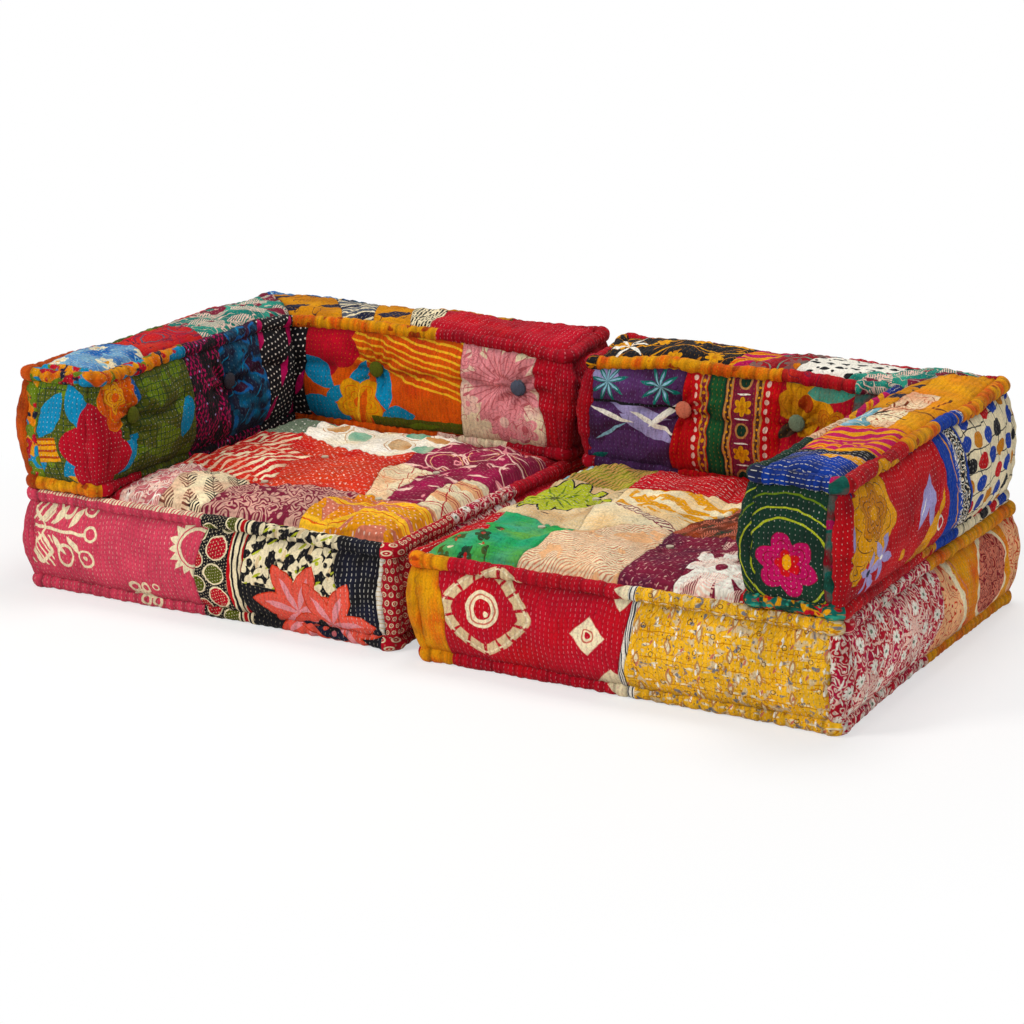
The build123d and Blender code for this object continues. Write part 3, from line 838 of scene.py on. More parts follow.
def uprights(side, cushion, corners, codes):
    """The rolls that stand on the outer corners, each a closed tube that swells and leans out as a
    sine of its height, with creases across it, and closes to a pole inside the edge rolls."""
    m = MODULE[side]
    node = side + "_" + cushion + "_corner_rolls"
    low, high = node_box(node)
    inset = m["setback"] + m["roll"] + ROLL_CORNER * (1 - math.sqrt(0.5))
    share = np.linspace(0, 1, UPRIGHT_STEPS)
    angle = np.linspace(0, 2 * math.pi, UPRIGHT_SIDES + 1)[:-1]
    bottom, top = low[2] - UPRIGHT_LAP, high[2] + UPRIGHT_LAP
    base = 0 if cushion == "seat" else m["base"]
    points, polygons, face_codes, uv, creases = [], [], [], [], []
    used = sorted({code for code, crest in codes})
    for number, ((x, y, way), (code, crest)) in enumerate(zip(corners, codes)):
        out = np.array([way[0], way[1], 0]) / math.sqrt(2)
        axis = np.array([x, y, 0]) - np.array([way[0], way[1], 0]) * inset
        swell = np.sin(math.pi * share)
        name = node + str(number)
        spine = axis + out * (UPRIGHT_BOW * swell)[:, None]
        spine[:, 2] = bottom + (top - bottom) * share
        flat = np.stack([spine[:, 2], np.zeros_like(share)], -1)
        radius = (m["roll"] + UPRIGHT_SWELL * swell) * (1 + UPRIGHT_UNEVEN * ripples(flat, 38, name))
        cap = np.sqrt(np.clip(1 - (2 * share - 1) ** 24, 0.08, 1))
        turned = angle + math.atan2(way[1], way[0]) - math.pi
        ring = np.stack([np.cos(turned), np.sin(turned), 0 * angle], -1)
        round_x, round_y = UPRIGHT_GRAIN * np.cos(angle), UPRIGHT_GRAIN * np.sin(angle)
        grid = np.stack(np.broadcast_arrays(spine[:, 2][:, None], round_x, round_y), -1)
        folds = 1 + UPRIGHT_CREASE * ripples(grid, 26, name + "folds")
        folds += UPRIGHT_BULK * ripples(grid, 60, name + "bulk")
        body = spine[:, None, :] + (radius * cap)[:, None, None] * folds[..., None] * ring[None]
        poles = np.stack([spine[0], spine[-1]])
        start = sum(len(block) for block in points)
        points += [body.reshape(-1, 3), poles]
        blocks = capped_tube(UPRIGHT_STEPS, UPRIGHT_SIDES, start, flip=True)
        polygons += blocks
        face_codes += [used.index(code)] * sum(len(block) for block in blocks)
        around = np.arange(UPRIGHT_SIDES)
        rise = spine[:, 2]
        row, column = np.divmod(np.arange((UPRIGHT_STEPS - 1) * UPRIGHT_SIDES), UPRIGHT_SIDES)
        step = 2 * math.pi * (m["roll"] + UPRIGHT_SWELL) / UPRIGHT_SIDES
        crest_u = crest - step * UPRIGHT_SIDES / 2
        corners_u = np.stack([column + 1, column + 1, column, column], -1) * step + crest_u
        corners_v = rise[np.stack([row, row + 1, row + 1, row], -1)] - base
        uv.append(np.stack([corners_u, corners_v], -1).reshape(-1, 2))
        for level, places in ((rise[0], (1, 0, 0.5)), (rise[-1], (0, 1, 0.5))):
            height = np.full(UPRIGHT_SIDES, level - base)
            triangle = [np.stack([(around + place) * step + crest_u, height], -1) for place in places]
            uv.append(np.stack(triangle, 1).reshape(-1, 2))
        # Painted shade: the colour is darkened in the hollows of the folds
        creases.append(np.clip(0.5 - 4 * (folds - 1), 0, 1).ravel() * 0.6)
        creases.append(np.zeros(2))
    points = settle(np.concatenate(points), side, cushion)
    piece = add_mesh(node + "_cloth", points, polygons, [FABRICS[code] for code in used], face_codes,
                     np.concatenate(uv), np.concatenate(creases))
    return finish_piece(piece, side, cushion, node, side + "_roll_cloth")


# Buttons and filling

BUTTON_SIDES = 30
BUTTON_TURNS = 12
BUTTON_BASE = 4.0
BUTTON_FOLDS = 11
BUTTON_FOLD_DEPTH = 0.03
BUTTON_FULLNESS = 0.7


def buttons(side, codes):
    """The cloth-covered buttons: each a dome whose radius follows a quarter ellipse up from its rim
    and back in underneath, with folds gathered round the rim that fade towards the middle."""
    node = side + "_backrest_buttons"
    points, polygons, face_codes = [], [], []
    used = sorted(set(codes))
    centres = MODULE[side]["buttons"]
    angle = np.linspace(0, 2 * math.pi, BUTTON_SIDES + 1)[:-1]
    turns = np.linspace(-0.5, 0.5, BUTTON_TURNS) * math.pi
    boxes = np.array([v.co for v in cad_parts[node].data.vertices]) / METRE
    for centre, code in zip(centres, codes):
        near = boxes[np.linalg.norm(boxes - centre, axis=1) < BUTTON_SPREAD]
        spread = near.max(0) - near.min(0)
        axis = int(spread.argmin())
        out = FACES[side]["back_inner"].out if axis == 1 else FACES[side]["arm_inner"].out
        across = np.cross(out, [0, 0, 1])
        thick, radius = spread[axis], spread[2] / 2
        rise = np.where(turns < 0, np.sin(turns) * BUTTON_BASE, np.sin(turns) * (thick - BUTTON_BASE))
        ring = radius * np.cos(turns) ** BUTTON_FULLNESS
        folds = np.cos(BUTTON_FOLDS * angle[None, :]) * (ring / radius)[:, None]
        ring = ring[:, None] * (1 + BUTTON_FOLD_DEPTH * folds)
        level = BUTTON_BASE - thick / 2 + rise
        body = (centre + level[:, None, None] * out + (ring * np.cos(angle))[..., None] * across
                + (ring * np.sin(angle))[..., None] * np.array([0, 0, 1]))[1:-1]
        rows = len(body)
        start = sum(len(block) for block in points)
        points += [body.reshape(-1, 3), centre + level[[0, -1], None] * out]
        flip = np.dot(np.cross(across, [0, 0, 1]), out) > 0
        blocks = capped_tube(rows, BUTTON_SIDES, start, flip)
        polygons += blocks
        face_codes += [used.index(code)] * sum(len(block) for block in blocks)
    points = np.concatenate(points)
    corners = np.concatenate([block.ravel() for block in polygons])
    flat = np.stack([points[:, 0] + points[:, 1], points[:, 2]], -1)
    piece = add_mesh(node + "_cloth", settle(points, side, "backrest"), polygons,
                     [FABRICS[code] for code in used], face_codes, flat[corners])
    return finish_piece(piece, side, "backrest", node, "button_cloth")


FILL_INSET = 44.0
FILL_MARGIN = 9.0
FILL_ROUND = 16.0
FILL_STEPS = 6


def filling(side, cushion, order):
    """The cotton block inside a cushion: the cushion's outline drawn in, with its upper and lower
    edges rounded as quarter circles."""
    m = MODULE[side]
    node = side + ("_seat_core" if cushion == "seat" else "_backrest_core")
    low, high = (0, m["seat_top"]) if cushion == "seat" else (m["base"], m["top"])
    faces = [FACES[side][name] for name in order]
    turns = np.linspace(0, math.pi / 2, FILL_STEPS)
    draw_in = FILL_ROUND * (1 - np.sin(turns))
    rise = FILL_ROUND * (1 - np.cos(turns))
    levels = np.concatenate([low + FILL_MARGIN + rise, high - FILL_MARGIN - rise[::-1]])
    insets = FILL_INSET + np.concatenate([draw_in, draw_in[::-1]])
    rings = []
    for level, inset in zip(levels, insets):
        ring = roll_path(faces, inset)[0][::2]
        ring[:, 2] = level
        rings.append(ring)
    count = min(len(ring) for ring in rings)
    rings = [ring[np.linspace(0, len(ring) - 1, count).round().astype(int)] for ring in rings]
    points = np.concatenate(rings)
    quads = grid_quads(len(rings), count, wrap=True)[:, ::-1]
    ring = np.arange(count)
    blocks = [quads, ring[::-1][None], (ring + (len(rings) - 1) * count)[None]]
    corners = np.concatenate([block.ravel() for block in blocks])
    piece = add_mesh(node + "_cotton", settle(points, side, cushion), blocks, [FABRICS["%"]],
                     [0] * (len(quads) + 2), points[corners][:, :2])
    return finish_piece(piece, side, cushion, node, "cotton_filling")


# Cloth materials

PALETTE = {
    "raspberry": "d0465e", "crimson": "b60f26", "red": "c2141c", "deep red": "7c0c1a",
    "maroon": "7c1e38",
    "brick": "cf4026", "coral": "e65c4c", "pink": "e8949a", "pale pink": "efc8b8", "rose": "c4686e",
    "magenta": "b8185a", "mauve": "d3a292", "plum": "36102e", "purple": "553066", "lilac": "a29acc",
    "navy": "161a32", "cobalt": "163c9c", "blue": "1c5ea6", "turquoise": "0c86b4", "teal": "0f6e64",
    "sea": "34a088", "green": "22a04e", "forest": "17502a", "dark green": "103626", "leaf": "667e16",
    "olive": "525a12", "lime": "b0b82c", "grey green": "6f8068", "yellow": "f4bc34", "gold": "e09a14",
    "ochre": "c47a10", "orange": "dc5c12", "rust": "a83e0a", "peach": "ecb482", "tan": "c08a50",
    "beige": "dcc296", "cream": "efe0ba", "white": "f4efe2", "salmon": "cc745c", "grey": "7c7a80",
    "charcoal": "34333b", "slate": "4c5464", "black": "0e0d12", "brown": "4a2a20", "sky": "8cbcd2",
    "metal": "a8a8ac", "twine": "d8ccb0",
}
CLOTH_WOBBLE = 9.6
CLOTH_WOBBLE_SIZE = 34.0
EDGE_SOFTNESS = 0.8
DASH_ROW = 9.6
DASH_PITCH = 9.4
DASH_WIDTH = 1.25
DASHES = {"v": (4.6, 0.85), "u": (4.6, 0.8), "d": (2.0, 0.72), "U": (6.0, 1.3), "n": (3.4, 0.5)}
WEAVE_PITCH = 1.3
WEAVE_HEIGHT = 0.10
FADE_SIZE = 70.0
FADE_STRENGTH = 0.7
FLECK_SIZE = 3.4
FLECK_STRENGTH = 0.8
# The painted shade along the cloth's fold lines, and the painted light and shade across the puffs
# between stitch rows
CREASE_SIZE = 17.0
CREASE_SHARPNESS = 16.0
CREASE_LIGHT = 0.12
PUFF_LIGHT = 0.12
BASE_LIGHT = 0.9
# How much the painted shade from the crease attribute darkens the colour
PAINTED_SHADE_STRENGTH = 0.6
BUMP_STRENGTH = 0.9
BUMP_DEPTH = 1.5
CLOTH_ROUGHNESS = 0.85
CLOTH_SHEEN = 0.02
CLOTH_SHINE = 0.14
CLOTH_SATURATION = 1.02


def shade(name):
    """The colour of a palette name as linear values."""
    parts = [int(PALETTE[name][k:k + 2], 16) / 255 for k in (0, 2, 4)]
    return tuple(c / 12.92 if c <= 0.04045 else ((c + 0.055) / 1.055) ** 2.4 for c in parts) + (1.0,)


def put(tree, slot, value):
    """Links a field to a node's input, or sets the input to a constant."""
    if isinstance(value, Field):
        tree.links.new(value.socket, slot)
    else:
        slot.default_value = value


class Field:
    """A number that varies over a cloth: a socket of its node tree, with the usual arithmetic."""

    def __init__(self, tree, socket):
        self.tree, self.socket = tree, socket

    def do(self, operation, *others, clamp=False):
        node = self.tree.nodes.new("ShaderNodeMath")
        node.operation = operation
        node.use_clamp = clamp
        for slot, value in zip(node.inputs, (self, *others)):
            put(self.tree, slot, value)
        return Field(self.tree, node.outputs[0])

    def __add__(self, other):
        return self.do("ADD", other)

    def __sub__(self, other):
        return self.do("SUBTRACT", other)

    def __mul__(self, other):
        return self.do("MULTIPLY", other)

    def __truediv__(self, other):
        return self.do("DIVIDE", other)

    def __abs__(self):
        return self.do("ABSOLUTE")

    def centred(self, pitch):
        """The distance along a repeat, from minus half the pitch to half of it."""
        return self.do("WRAP", pitch / 2, -pitch / 2)

    def inside(self, softness=EDGE_SOFTNESS):
        """A mask of where a signed distance in millimetres is below nought."""
        return self.do("MULTIPLY_ADD", -1 / softness, 0.5, clamp=True)


class Cloth:
    """The material of one printed cloth, painted in layers over its ground. Places and sizes are
    millimetres on the face that the cloth lies on."""

    def __init__(self, name, ground):
        self.material = bpy.data.materials.new(name)
        self.material.use_nodes = True
        self.tree = self.material.node_tree
        self.tree.nodes.clear()
        self.seed = seed_of(name) % 997
        place = self.tree.nodes.new("ShaderNodeUVMap")
        place.uv_map = "cloth"
        split = self.tree.nodes.new("ShaderNodeSeparateXYZ")
        self.tree.links.new(place.outputs[0], split.inputs[0])
        self.true_u, self.true_v = (Field(self.tree, split.outputs[k]) / METRE for k in (0, 1))
        one, two = self.noise(self.true_u, self.true_v, CLOTH_WOBBLE_SIZE, 0)
        self.u = self.true_u + (one - 0.5) * CLOTH_WOBBLE
        self.v = self.true_v + (two - 0.5) * CLOTH_WOBBLE
        self.colour = shade(ground)
        self.window = None
        self.dash = None
        self.puff = None

    def noise(self, u, v, size, layer, detail=2.0):
        """Two soft random fields, each round about a half."""
        where = self.tree.nodes.new("ShaderNodeCombineXYZ")
        for slot, value in zip(where.inputs, (u / size, v / size, self.seed + 3.7 * layer)):
            put(self.tree, slot, value)
        node = self.tree.nodes.new("ShaderNodeTexNoise")
        node.inputs["Scale"].default_value = 1.0
        node.inputs["Detail"].default_value = detail
        self.tree.links.new(where.outputs[0], node.inputs["Vector"])
        split = self.tree.nodes.new("ShaderNodeSeparateColor")
        self.tree.links.new(node.outputs["Color"], split.inputs[0])
        return Field(self.tree, split.outputs[0]), Field(self.tree, split.outputs[1])

    def mix(self, amount, colour, blend="MIX"):
        node = self.tree.nodes.new("ShaderNodeMix")
        node.data_type = "RGBA"
        node.blend_type = blend
        put(self.tree, node.inputs[0], amount)
        for slot, value in ((node.inputs[6], self.colour), (node.inputs[7], colour)):
            put(self.tree, slot, value)
        self.colour = Field(self.tree, node.outputs[2])

    def paint(self, mask, colour):
        """Paints a colour where a mask is 1, within the window if one is set."""
        self.mix(mask if self.window is None else mask * self.window, shade(colour))

    def around(self, u, v, turn=0.0):
        """Distances from a place, along a line turned by some degrees and across it."""
        c, s = math.cos(math.radians(turn)), math.sin(math.radians(turn))
        du, dv = self.u - u, self.v - v
        return du * c + dv * s, dv * c - du * s

    def tiled(self, pitch, turn=0.0, shift=0.5, row=None):
        """Distances from the middle of the nearest repeat, in rows that each start a shift later."""
        row = row or pitch
        x, y = self.around(0, 0, turn)
        number = (y / row).do("FLOOR")
        return (x + number * (shift * pitch)).centred(pitch), y - number * row - row / 2

    @staticmethod
    def length(x, y):
        return (x * x + y * y).do("SQRT")

    @staticmethod
    def blade(x, y, length, width):
        """The signed distance from a leaf shape: its width shrinks as a parabola to both tips."""
        return abs(y) - (x * x * (-4 / length ** 2) + 1) * (width / 2)

    def petals(self, x, y, radius, count, depth, colour, centre, vein=None):
        """A flower: its rim swings between petals as a rectified sine of the angle."""
        away = self.length(x, y)
        wave = abs((y.do("ARCTAN2", x) * (count / 2)).do("SINE"))
        rim = wave * (radius * depth) + radius * (1 - depth)
        self.paint((away - rim).inside(), colour)
        if vein:
            lines = abs((away - rim).centred(radius * 0.26)) - 0.9
            self.paint(lines.do("MAXIMUM", away - rim).inside(), vein)
        self.paint((away - radius * 0.24).inside(), centre)

    # The layers that a cloth's list names. The first two set a window that keeps the layers after
    # them to a turned rectangle or a circle, until everywhere lifts it.

    def only(self, u0, u1, v0, v1, turn=0.0):
        x, y = self.around((u0 + u1) / 2, (v0 + v1) / 2, turn)
        self.window = (abs(x) - (u1 - u0) / 2).do("MAXIMUM", abs(y) - (v1 - v0) / 2).inside()

    def within(self, u, v, radius):
        self.window = (self.length(*self.around(u, v)) - radius).inside()

    def everywhere(self):
        self.window = None

    def fill(self, colour):
        self.paint((self.u * 0 - 1).inside(), colour)

    def dots(self, pitch, radius, colour, turn=0.0):
        self.paint((self.length(*self.tiled(pitch, turn)) - radius).inside(), colour)

    def rings(self, pitch, radius, width, colour, turn=0.0):
        self.paint((abs(self.length(*self.tiled(pitch, turn)) - radius) - width / 2).inside(), colour)

    def stripes(self, turn, pitch, width, colour, start=0.0):
        y = self.around(0, 0, turn)[1] - start
        self.paint((abs(y.centred(pitch)) - width / 2).inside(), colour)

    def waves(self, turn, pitch, width, swing, colour, length=None):
        x, y = self.around(0, 0, turn)
        y = y + (x * (2 * math.pi / (length or 3.2 * pitch))).do("SINE") * swing
        self.paint((abs(y.centred(pitch)) - width / 2).inside(), colour)

    def blotch(self, size, level, colour):
        one = self.noise(self.u, self.v, size, 2 + size / 7, 1.0)[0]
        self.paint(((one - level) * (-size)).inside(), colour)

    def wash(self, size, colour, strength=0.5):
        one = self.noise(self.u, self.v, size, 8 + size / 5, 1.0)[0]
        self.paint(((one - 0.5) * 4 + 0.5).do("MULTIPLY", strength, clamp=True), colour)

    def scribble(self, size, gap, width, colour):
        one = self.noise(self.u, self.v, size, 5 + size / 9, 1.0)[0]
        line = abs((one * (size * 2.2)).centred(gap)) - width / 2
        self.paint(line.inside(), colour)

    def blooms(self, pitch, radius, count, colour, centre, turn=0.0):
        self.petals(*self.tiled(pitch, turn), radius, count, 0.4, colour, centre)

    def leaves(self, pitch, length, width, turn, colour):
        self.paint(self.blade(*self.tiled(pitch, turn), length, width).inside(), colour)

    def fern(self, pitch, turn, colour, row=None, tooth=6.0):
        """Stems with a comb of leaflets that lean forwards on both sides."""
        x, y = self.tiled(pitch * 2, turn, row=row or pitch)
        half = (row or pitch) / 2
        side = abs(y)
        stem = (side - 0.7).do("MAXIMUM", abs(x) - pitch * 0.9)
        comb = abs((x - side * 0.9).centred(tooth)) - tooth * 0.25
        blade = comb.do("MAXIMUM", side - (x * x * (-1.1 / pitch ** 2) + 1) * (half * 0.8))
        self.paint(stem.do("MINIMUM", blade).inside(), colour)

    def disc(self, u, v, radius, colour):
        self.paint((self.length(*self.around(u, v)) - radius).inside(), colour)

    def oval(self, u, v, half_u, half_v, colour):
        x, y = self.around(u, v)
        self.paint(((self.length(x, y * (half_u / half_v))) - half_u).inside(), colour)

    def ring(self, u, v, radius, width, colour, flat=1.0):
        x, y = self.around(u, v)
        self.paint((abs(self.length(x, y / flat) - radius) - width / 2).inside(), colour)

    def bloom(self, u, v, radius, count, colour, centre, vein=None, turn=0.0, depth=0.42):
        self.petals(*self.around(u, v, turn), radius, count, depth, colour, centre, vein)

    def daisy(self, u, v, length, width, count, colour, turn=0.0):
        """Leaf-shaped petals that point away from a place: one petal, folded round by its angle."""
        x, y = self.around(u, v, turn)
        away = self.length(x, y)
        angle = y.do("ARCTAN2", x).centred(2 * math.pi / count)
        along, across = away * angle.do("COSINE"), away * angle.do("SINE")
        self.paint(self.blade(along - length / 2, across, length, width).inside(), colour)

    def leaf(self, u, v, length, width, turn, colour):
        self.paint(self.blade(*self.around(u, v, turn), length, width).inside(), colour)

    def strap(self, u0, v0, u1, v1, width, colour):
        length = math.hypot(u1 - u0, v1 - v0)
        x, y = self.around((u0 + u1) / 2, (v0 + v1) / 2, math.degrees(math.atan2(v1 - v0, u1 - u0)))
        self.paint((abs(y) - width / 2).do("MAXIMUM", abs(x) - length / 2).inside(), colour)

    def diamond(self, u, v, half_u, half_v, colour):
        x, y = self.around(u, v)
        share = abs(x) * (1 / half_u) + abs(y) * (1 / half_v)
        self.paint(((share - 1) * (half_u * 0.7)).inside(2.0), colour)

    def wreath(self, u, v, half_u, half_v, width, count, colour):
        """A ring of blocks round a diamond with soft corners: the sum of powers 1.3 is constant."""
        x, y = self.around(u, v)
        y = y * (half_u / half_v)
        share = (abs(x).do("POWER", 1.3) + abs(y).do("POWER", 1.3)).do("POWER", 1 / 1.3)
        body = abs(share - (half_u - width / 2)) - width / 2
        pitch = 2 * math.pi / count
        block = (abs(y.do("ARCTAN2", x).centred(pitch)) - pitch * 0.40) * (half_u * 0.8)
        self.paint(body.do("MAXIMUM", block).inside(2.0), colour)

    def row_of(self, name, places, *rest):
        for u, v in places:
            getattr(self, name)(u, v, *rest)

    def stitched(self, way, colour):
        """Running stitches in rows along u or along v, each row started at its own place. They show
        more in some places than in others, and the cloth puffs up between the rows."""
        length, shows = DASHES[way]
        cross, along = (self.u, self.v) if way in "vdn" else (self.v, self.u)
        row = (cross / DASH_ROW).do("FLOOR")
        off = abs(cross - row * DASH_ROW - DASH_ROW / 2)
        jump = (row * 12.9898).do("SINE") * 4.0
        x = abs((along + jump).centred(DASH_PITCH)) - length / 2
        self.dash = (off - DASH_WIDTH / 2).do("MAXIMUM", x).inside()
        self.puff = (off * (math.pi / DASH_ROW)).do("SINE")
        some = self.noise(self.true_u, self.true_v, 30, 12)[0]
        self.mix(self.dash * ((some - 0.22) * 2).do("MULTIPLY", shows, clamp=True), shade(colour))

    def finish(self):
        """Fades the cloth unevenly, paints shade into it where the crease attribute asks and along its
        own creases, paints light on the puffs between stitch rows, and gives it its weave. Its creases
        lie along the line where a soft noise, stretched up the cloth, crosses a half."""
        faded = self.noise(self.true_u, self.true_v, FADE_SIZE, 9)[0]
        flecks = self.noise(self.true_u, self.true_v, FLECK_SIZE, 10)[0]
        # Painted shade: the crease attribute darkens the colour in seams, near panel edges, in roll
        # pinches, in fold hollows, along the waist crease and round the buttons
        attribute = self.tree.nodes.new("ShaderNodeAttribute")
        attribute.attribute_name = "crease"
        seam = Field(self.tree, attribute.outputs["Fac"])
        # Painted shade along the fold lines, which also sink in the bump
        crease = self.noise(self.true_u, self.true_v * 0.55, CREASE_SIZE, 11)[0] - 0.5
        crease = abs(crease).do("MULTIPLY", CREASE_SHARPNESS, clamp=True)
        light = (faded - 0.5) * FADE_STRENGTH + (flecks - 0.5) * FLECK_STRENGTH
        light = light + crease * CREASE_LIGHT + BASE_LIGHT
        # Painted light on the puffs between stitch rows and painted shade along the rows
        if self.puff is not None:
            light = light + (self.puff - 0.7) * PUFF_LIGHT
        light = light * (seam * -PAINTED_SHADE_STRENGTH + 1.0)
        grey = self.tree.nodes.new("ShaderNodeCombineColor")
        for slot in grey.inputs:
            put(self.tree, slot, light)
        self.mix(1.0, Field(self.tree, grey.outputs[0]), "MULTIPLY")
        warp = (self.true_u * (2 * math.pi / WEAVE_PITCH)).do("SINE")
        weft = (self.true_v * (2 * math.pi / WEAVE_PITCH)).do("SINE")
        height = warp * weft * WEAVE_HEIGHT + flecks * 0.4 + crease * 0.7
        if self.dash is not None:
            height = height - self.dash * 0.3 + self.puff * 0.7
        bump = self.tree.nodes.new("ShaderNodeBump")
        bump.inputs["Strength"].default_value = BUMP_STRENGTH
        bump.inputs["Distance"].default_value = BUMP_DEPTH * METRE
        put(self.tree, bump.inputs["Height"], height)
        rich = self.tree.nodes.new("ShaderNodeHueSaturation")
        rich.inputs["Saturation"].default_value = CLOTH_SATURATION
        put(self.tree, rich.inputs["Color"], self.colour)
        shader = self.tree.nodes.new("ShaderNodeBsdfPrincipled")
        self.tree.links.new(rich.outputs[0], shader.inputs["Base Color"])
        shader.inputs["Roughness"].default_value = CLOTH_ROUGHNESS
        shader.inputs["Sheen Weight"].default_value = CLOTH_SHEEN
        shader.inputs["Specular IOR Level"].default_value = CLOTH_SHINE
        self.tree.links.new(bump.outputs[0], shader.inputs["Normal"])
        output = self.tree.nodes.new("ShaderNodeOutputMaterial")
        self.tree.links.new(shader.outputs[0], output.inputs[0])
        return self.material


def plain_material(name, colour, roughness, metallic, size):
    """Cord or metal: one colour with soft streaks in the object's own millimetres."""
    material = bpy.data.materials.new(name)
    material.use_nodes = True
    tree = material.node_tree
    shader = tree.nodes["Principled BSDF"]
    shader.inputs["Roughness"].default_value = roughness
    shader.inputs["Metallic"].default_value = metallic
    place = tree.nodes.new("ShaderNodeTexCoord")
    noise = tree.nodes.new("ShaderNodeTexNoise")
    noise.inputs["Scale"].default_value = 1 / (size * METRE)
    tree.links.new(place.outputs["Object"], noise.inputs["Vector"])
    mix = tree.nodes.new("ShaderNodeMix")
    mix.data_type = "RGBA"
    mix.blend_type = "MULTIPLY"
    mix.inputs[0].default_value = 0.6
    mix.inputs[6].default_value = shade(colour)
    tree.links.new(noise.outputs["Fac"], mix.inputs[7])
    tree.links.new(mix.outputs[2], shader.inputs["Base Color"])
    bump = tree.nodes.new("ShaderNodeBump")
    bump.inputs["Distance"].default_value = 0.5 * METRE
    tree.links.new(noise.outputs["Fac"], bump.inputs["Height"])
    tree.links.new(bump.outputs[0], shader.inputs["Normal"])
    return material


# Motifs that lie across more than one cloth
CORAL_FLOWER = [
    ("daisy", 664, 50, 100, 50, 7, "brick", 18), ("daisy", 664, 50, 97, 45, 7, "coral", 18),
    ("daisy", 664, 50, 74, 15, 7, "pink", 18), ("daisy", 736, 34, 96, 46, 6, "brick", 66),
    ("daisy", 736, 34, 93, 41, 6, "coral", 66), ("daisy", 736, 34, 66, 13, 6, "pink", 66),
    ("leaf", 706, 18, 84, 30, 165, "navy"), ("disc", 712, 28, 13, "black"),
    ("disc", 694, 24, 6, "coral"), ("disc", 716, 14, 5, "rose")]
GARDEN = [
    ("blotch", 52, 0.55, "leaf"), ("stripes", 90, 13, 1.6, "dark green", 4),
    ("stripes", 0, 13, 1.4, "dark green"), ("leaf", 62, 62, 92, 46, 65, "turquoise"),
    ("leaf", 104, 158, 104, 50, 62, "turquoise"), ("leaf", 168, 172, 112, 48, 122, "turquoise"),
    ("leaf", 160, 62, 92, 44, 35, "turquoise"), ("only", 64, 122, 64, 112, 10), ("fill", "gold"),
    ("stripes", 8, 12, 4.5, "rust"), ("everywhere",), ("leaf", 190, 28, 120, 26, 172, "gold"),
    ("leaf", 196, 28, 90, 8, 172, "rust"), ("leaf", 330, 72, 92, 46, 50, "turquoise"),
    ("leaf", 358, 190, 70, 34, 100, "blue"), ("leaf", 512, 108, 84, 42, 75, "turquoise"),
    ("leaf", 300, 150, 40, 28, 10, "turquoise"),
    ("bloom", 230, 88, 104, 6, "crimson", "crimson", None, 20, 0.24),
    ("bloom", 244, 160, 44, 3, "crimson", "crimson"),
    ("bloom", 300, 196, 72, 5, "orange", "gold", "gold", 12, 0.28),
    ("leaf", 306, 222, 80, 16, 20, "gold"),
    ("bloom", 300, 190, 34, 4, "gold", "orange", "rust", 40, 0.3)]
ROSE = [
    ("leaf", 250, 128, 90, 26, 96, "lilac"),
    ("bloom", 268, 96, 40, 5, "gold", "ochre", "brown", 30, 0.3),
    ("bloom", 326, 160, 88, 6, "gold", "ochre", "brown", 14, 0.2),
    ("bloom", 330, 168, 50, 5, "ochre", "gold", "brown", 40, 0.3),
    ("daisy", 322, 66, 40, 17, 5, "lilac", 18), ("daisy", 366, 84, 46, 18, 5, "lilac", 60),
    ("disc", 322, 66, 7, "navy"), ("disc", 366, 84, 5, "white"), ("disc", 340, 40, 10, "lilac"),
    ("leaf", 556, 130, 104, 40, 62, "lilac"), ("leaf", 590, 116, 84, 32, 100, "lilac"),
    ("leaf", 545, 118, 56, 4, 62, "white"), ("leaf", 600, 52, 110, 44, 62, "gold"),
    ("leaf", 560, 30, 92, 34, 20, "ochre"), ("leaf", 640, 92, 90, 22, 70, "gold"),
    ("disc", 648, 70, 14, "white"), ("disc", 648, 70, 10, "red"), ("disc", 466, 60, 10, "gold")]
OVAL_COLOURS = ("cobalt", "black", "red", "cobalt", "ochre")
OVALS = [("oval", 778 + 56 * i + 12 * (j % 2), 20 + 40 * j, 22, 15, OVAL_COLOURS[(i + 2 * j) % 5])
         for i in range(7) for j in range(6) if (i * 3 + j) % 8]

BORDER = [("strap", u, -20, u, 270, width, colour) for u, width, colour in (
    (294, 15, "tan"), (294, 8, "maroon"), (322, 36, "dark green"), (322, 26, "forest"),
    (348, 15, "tan"), (348, 6, "brown"), (379, 45, "maroon"), (410, 15, "tan"), (410, 6, "brown"))]

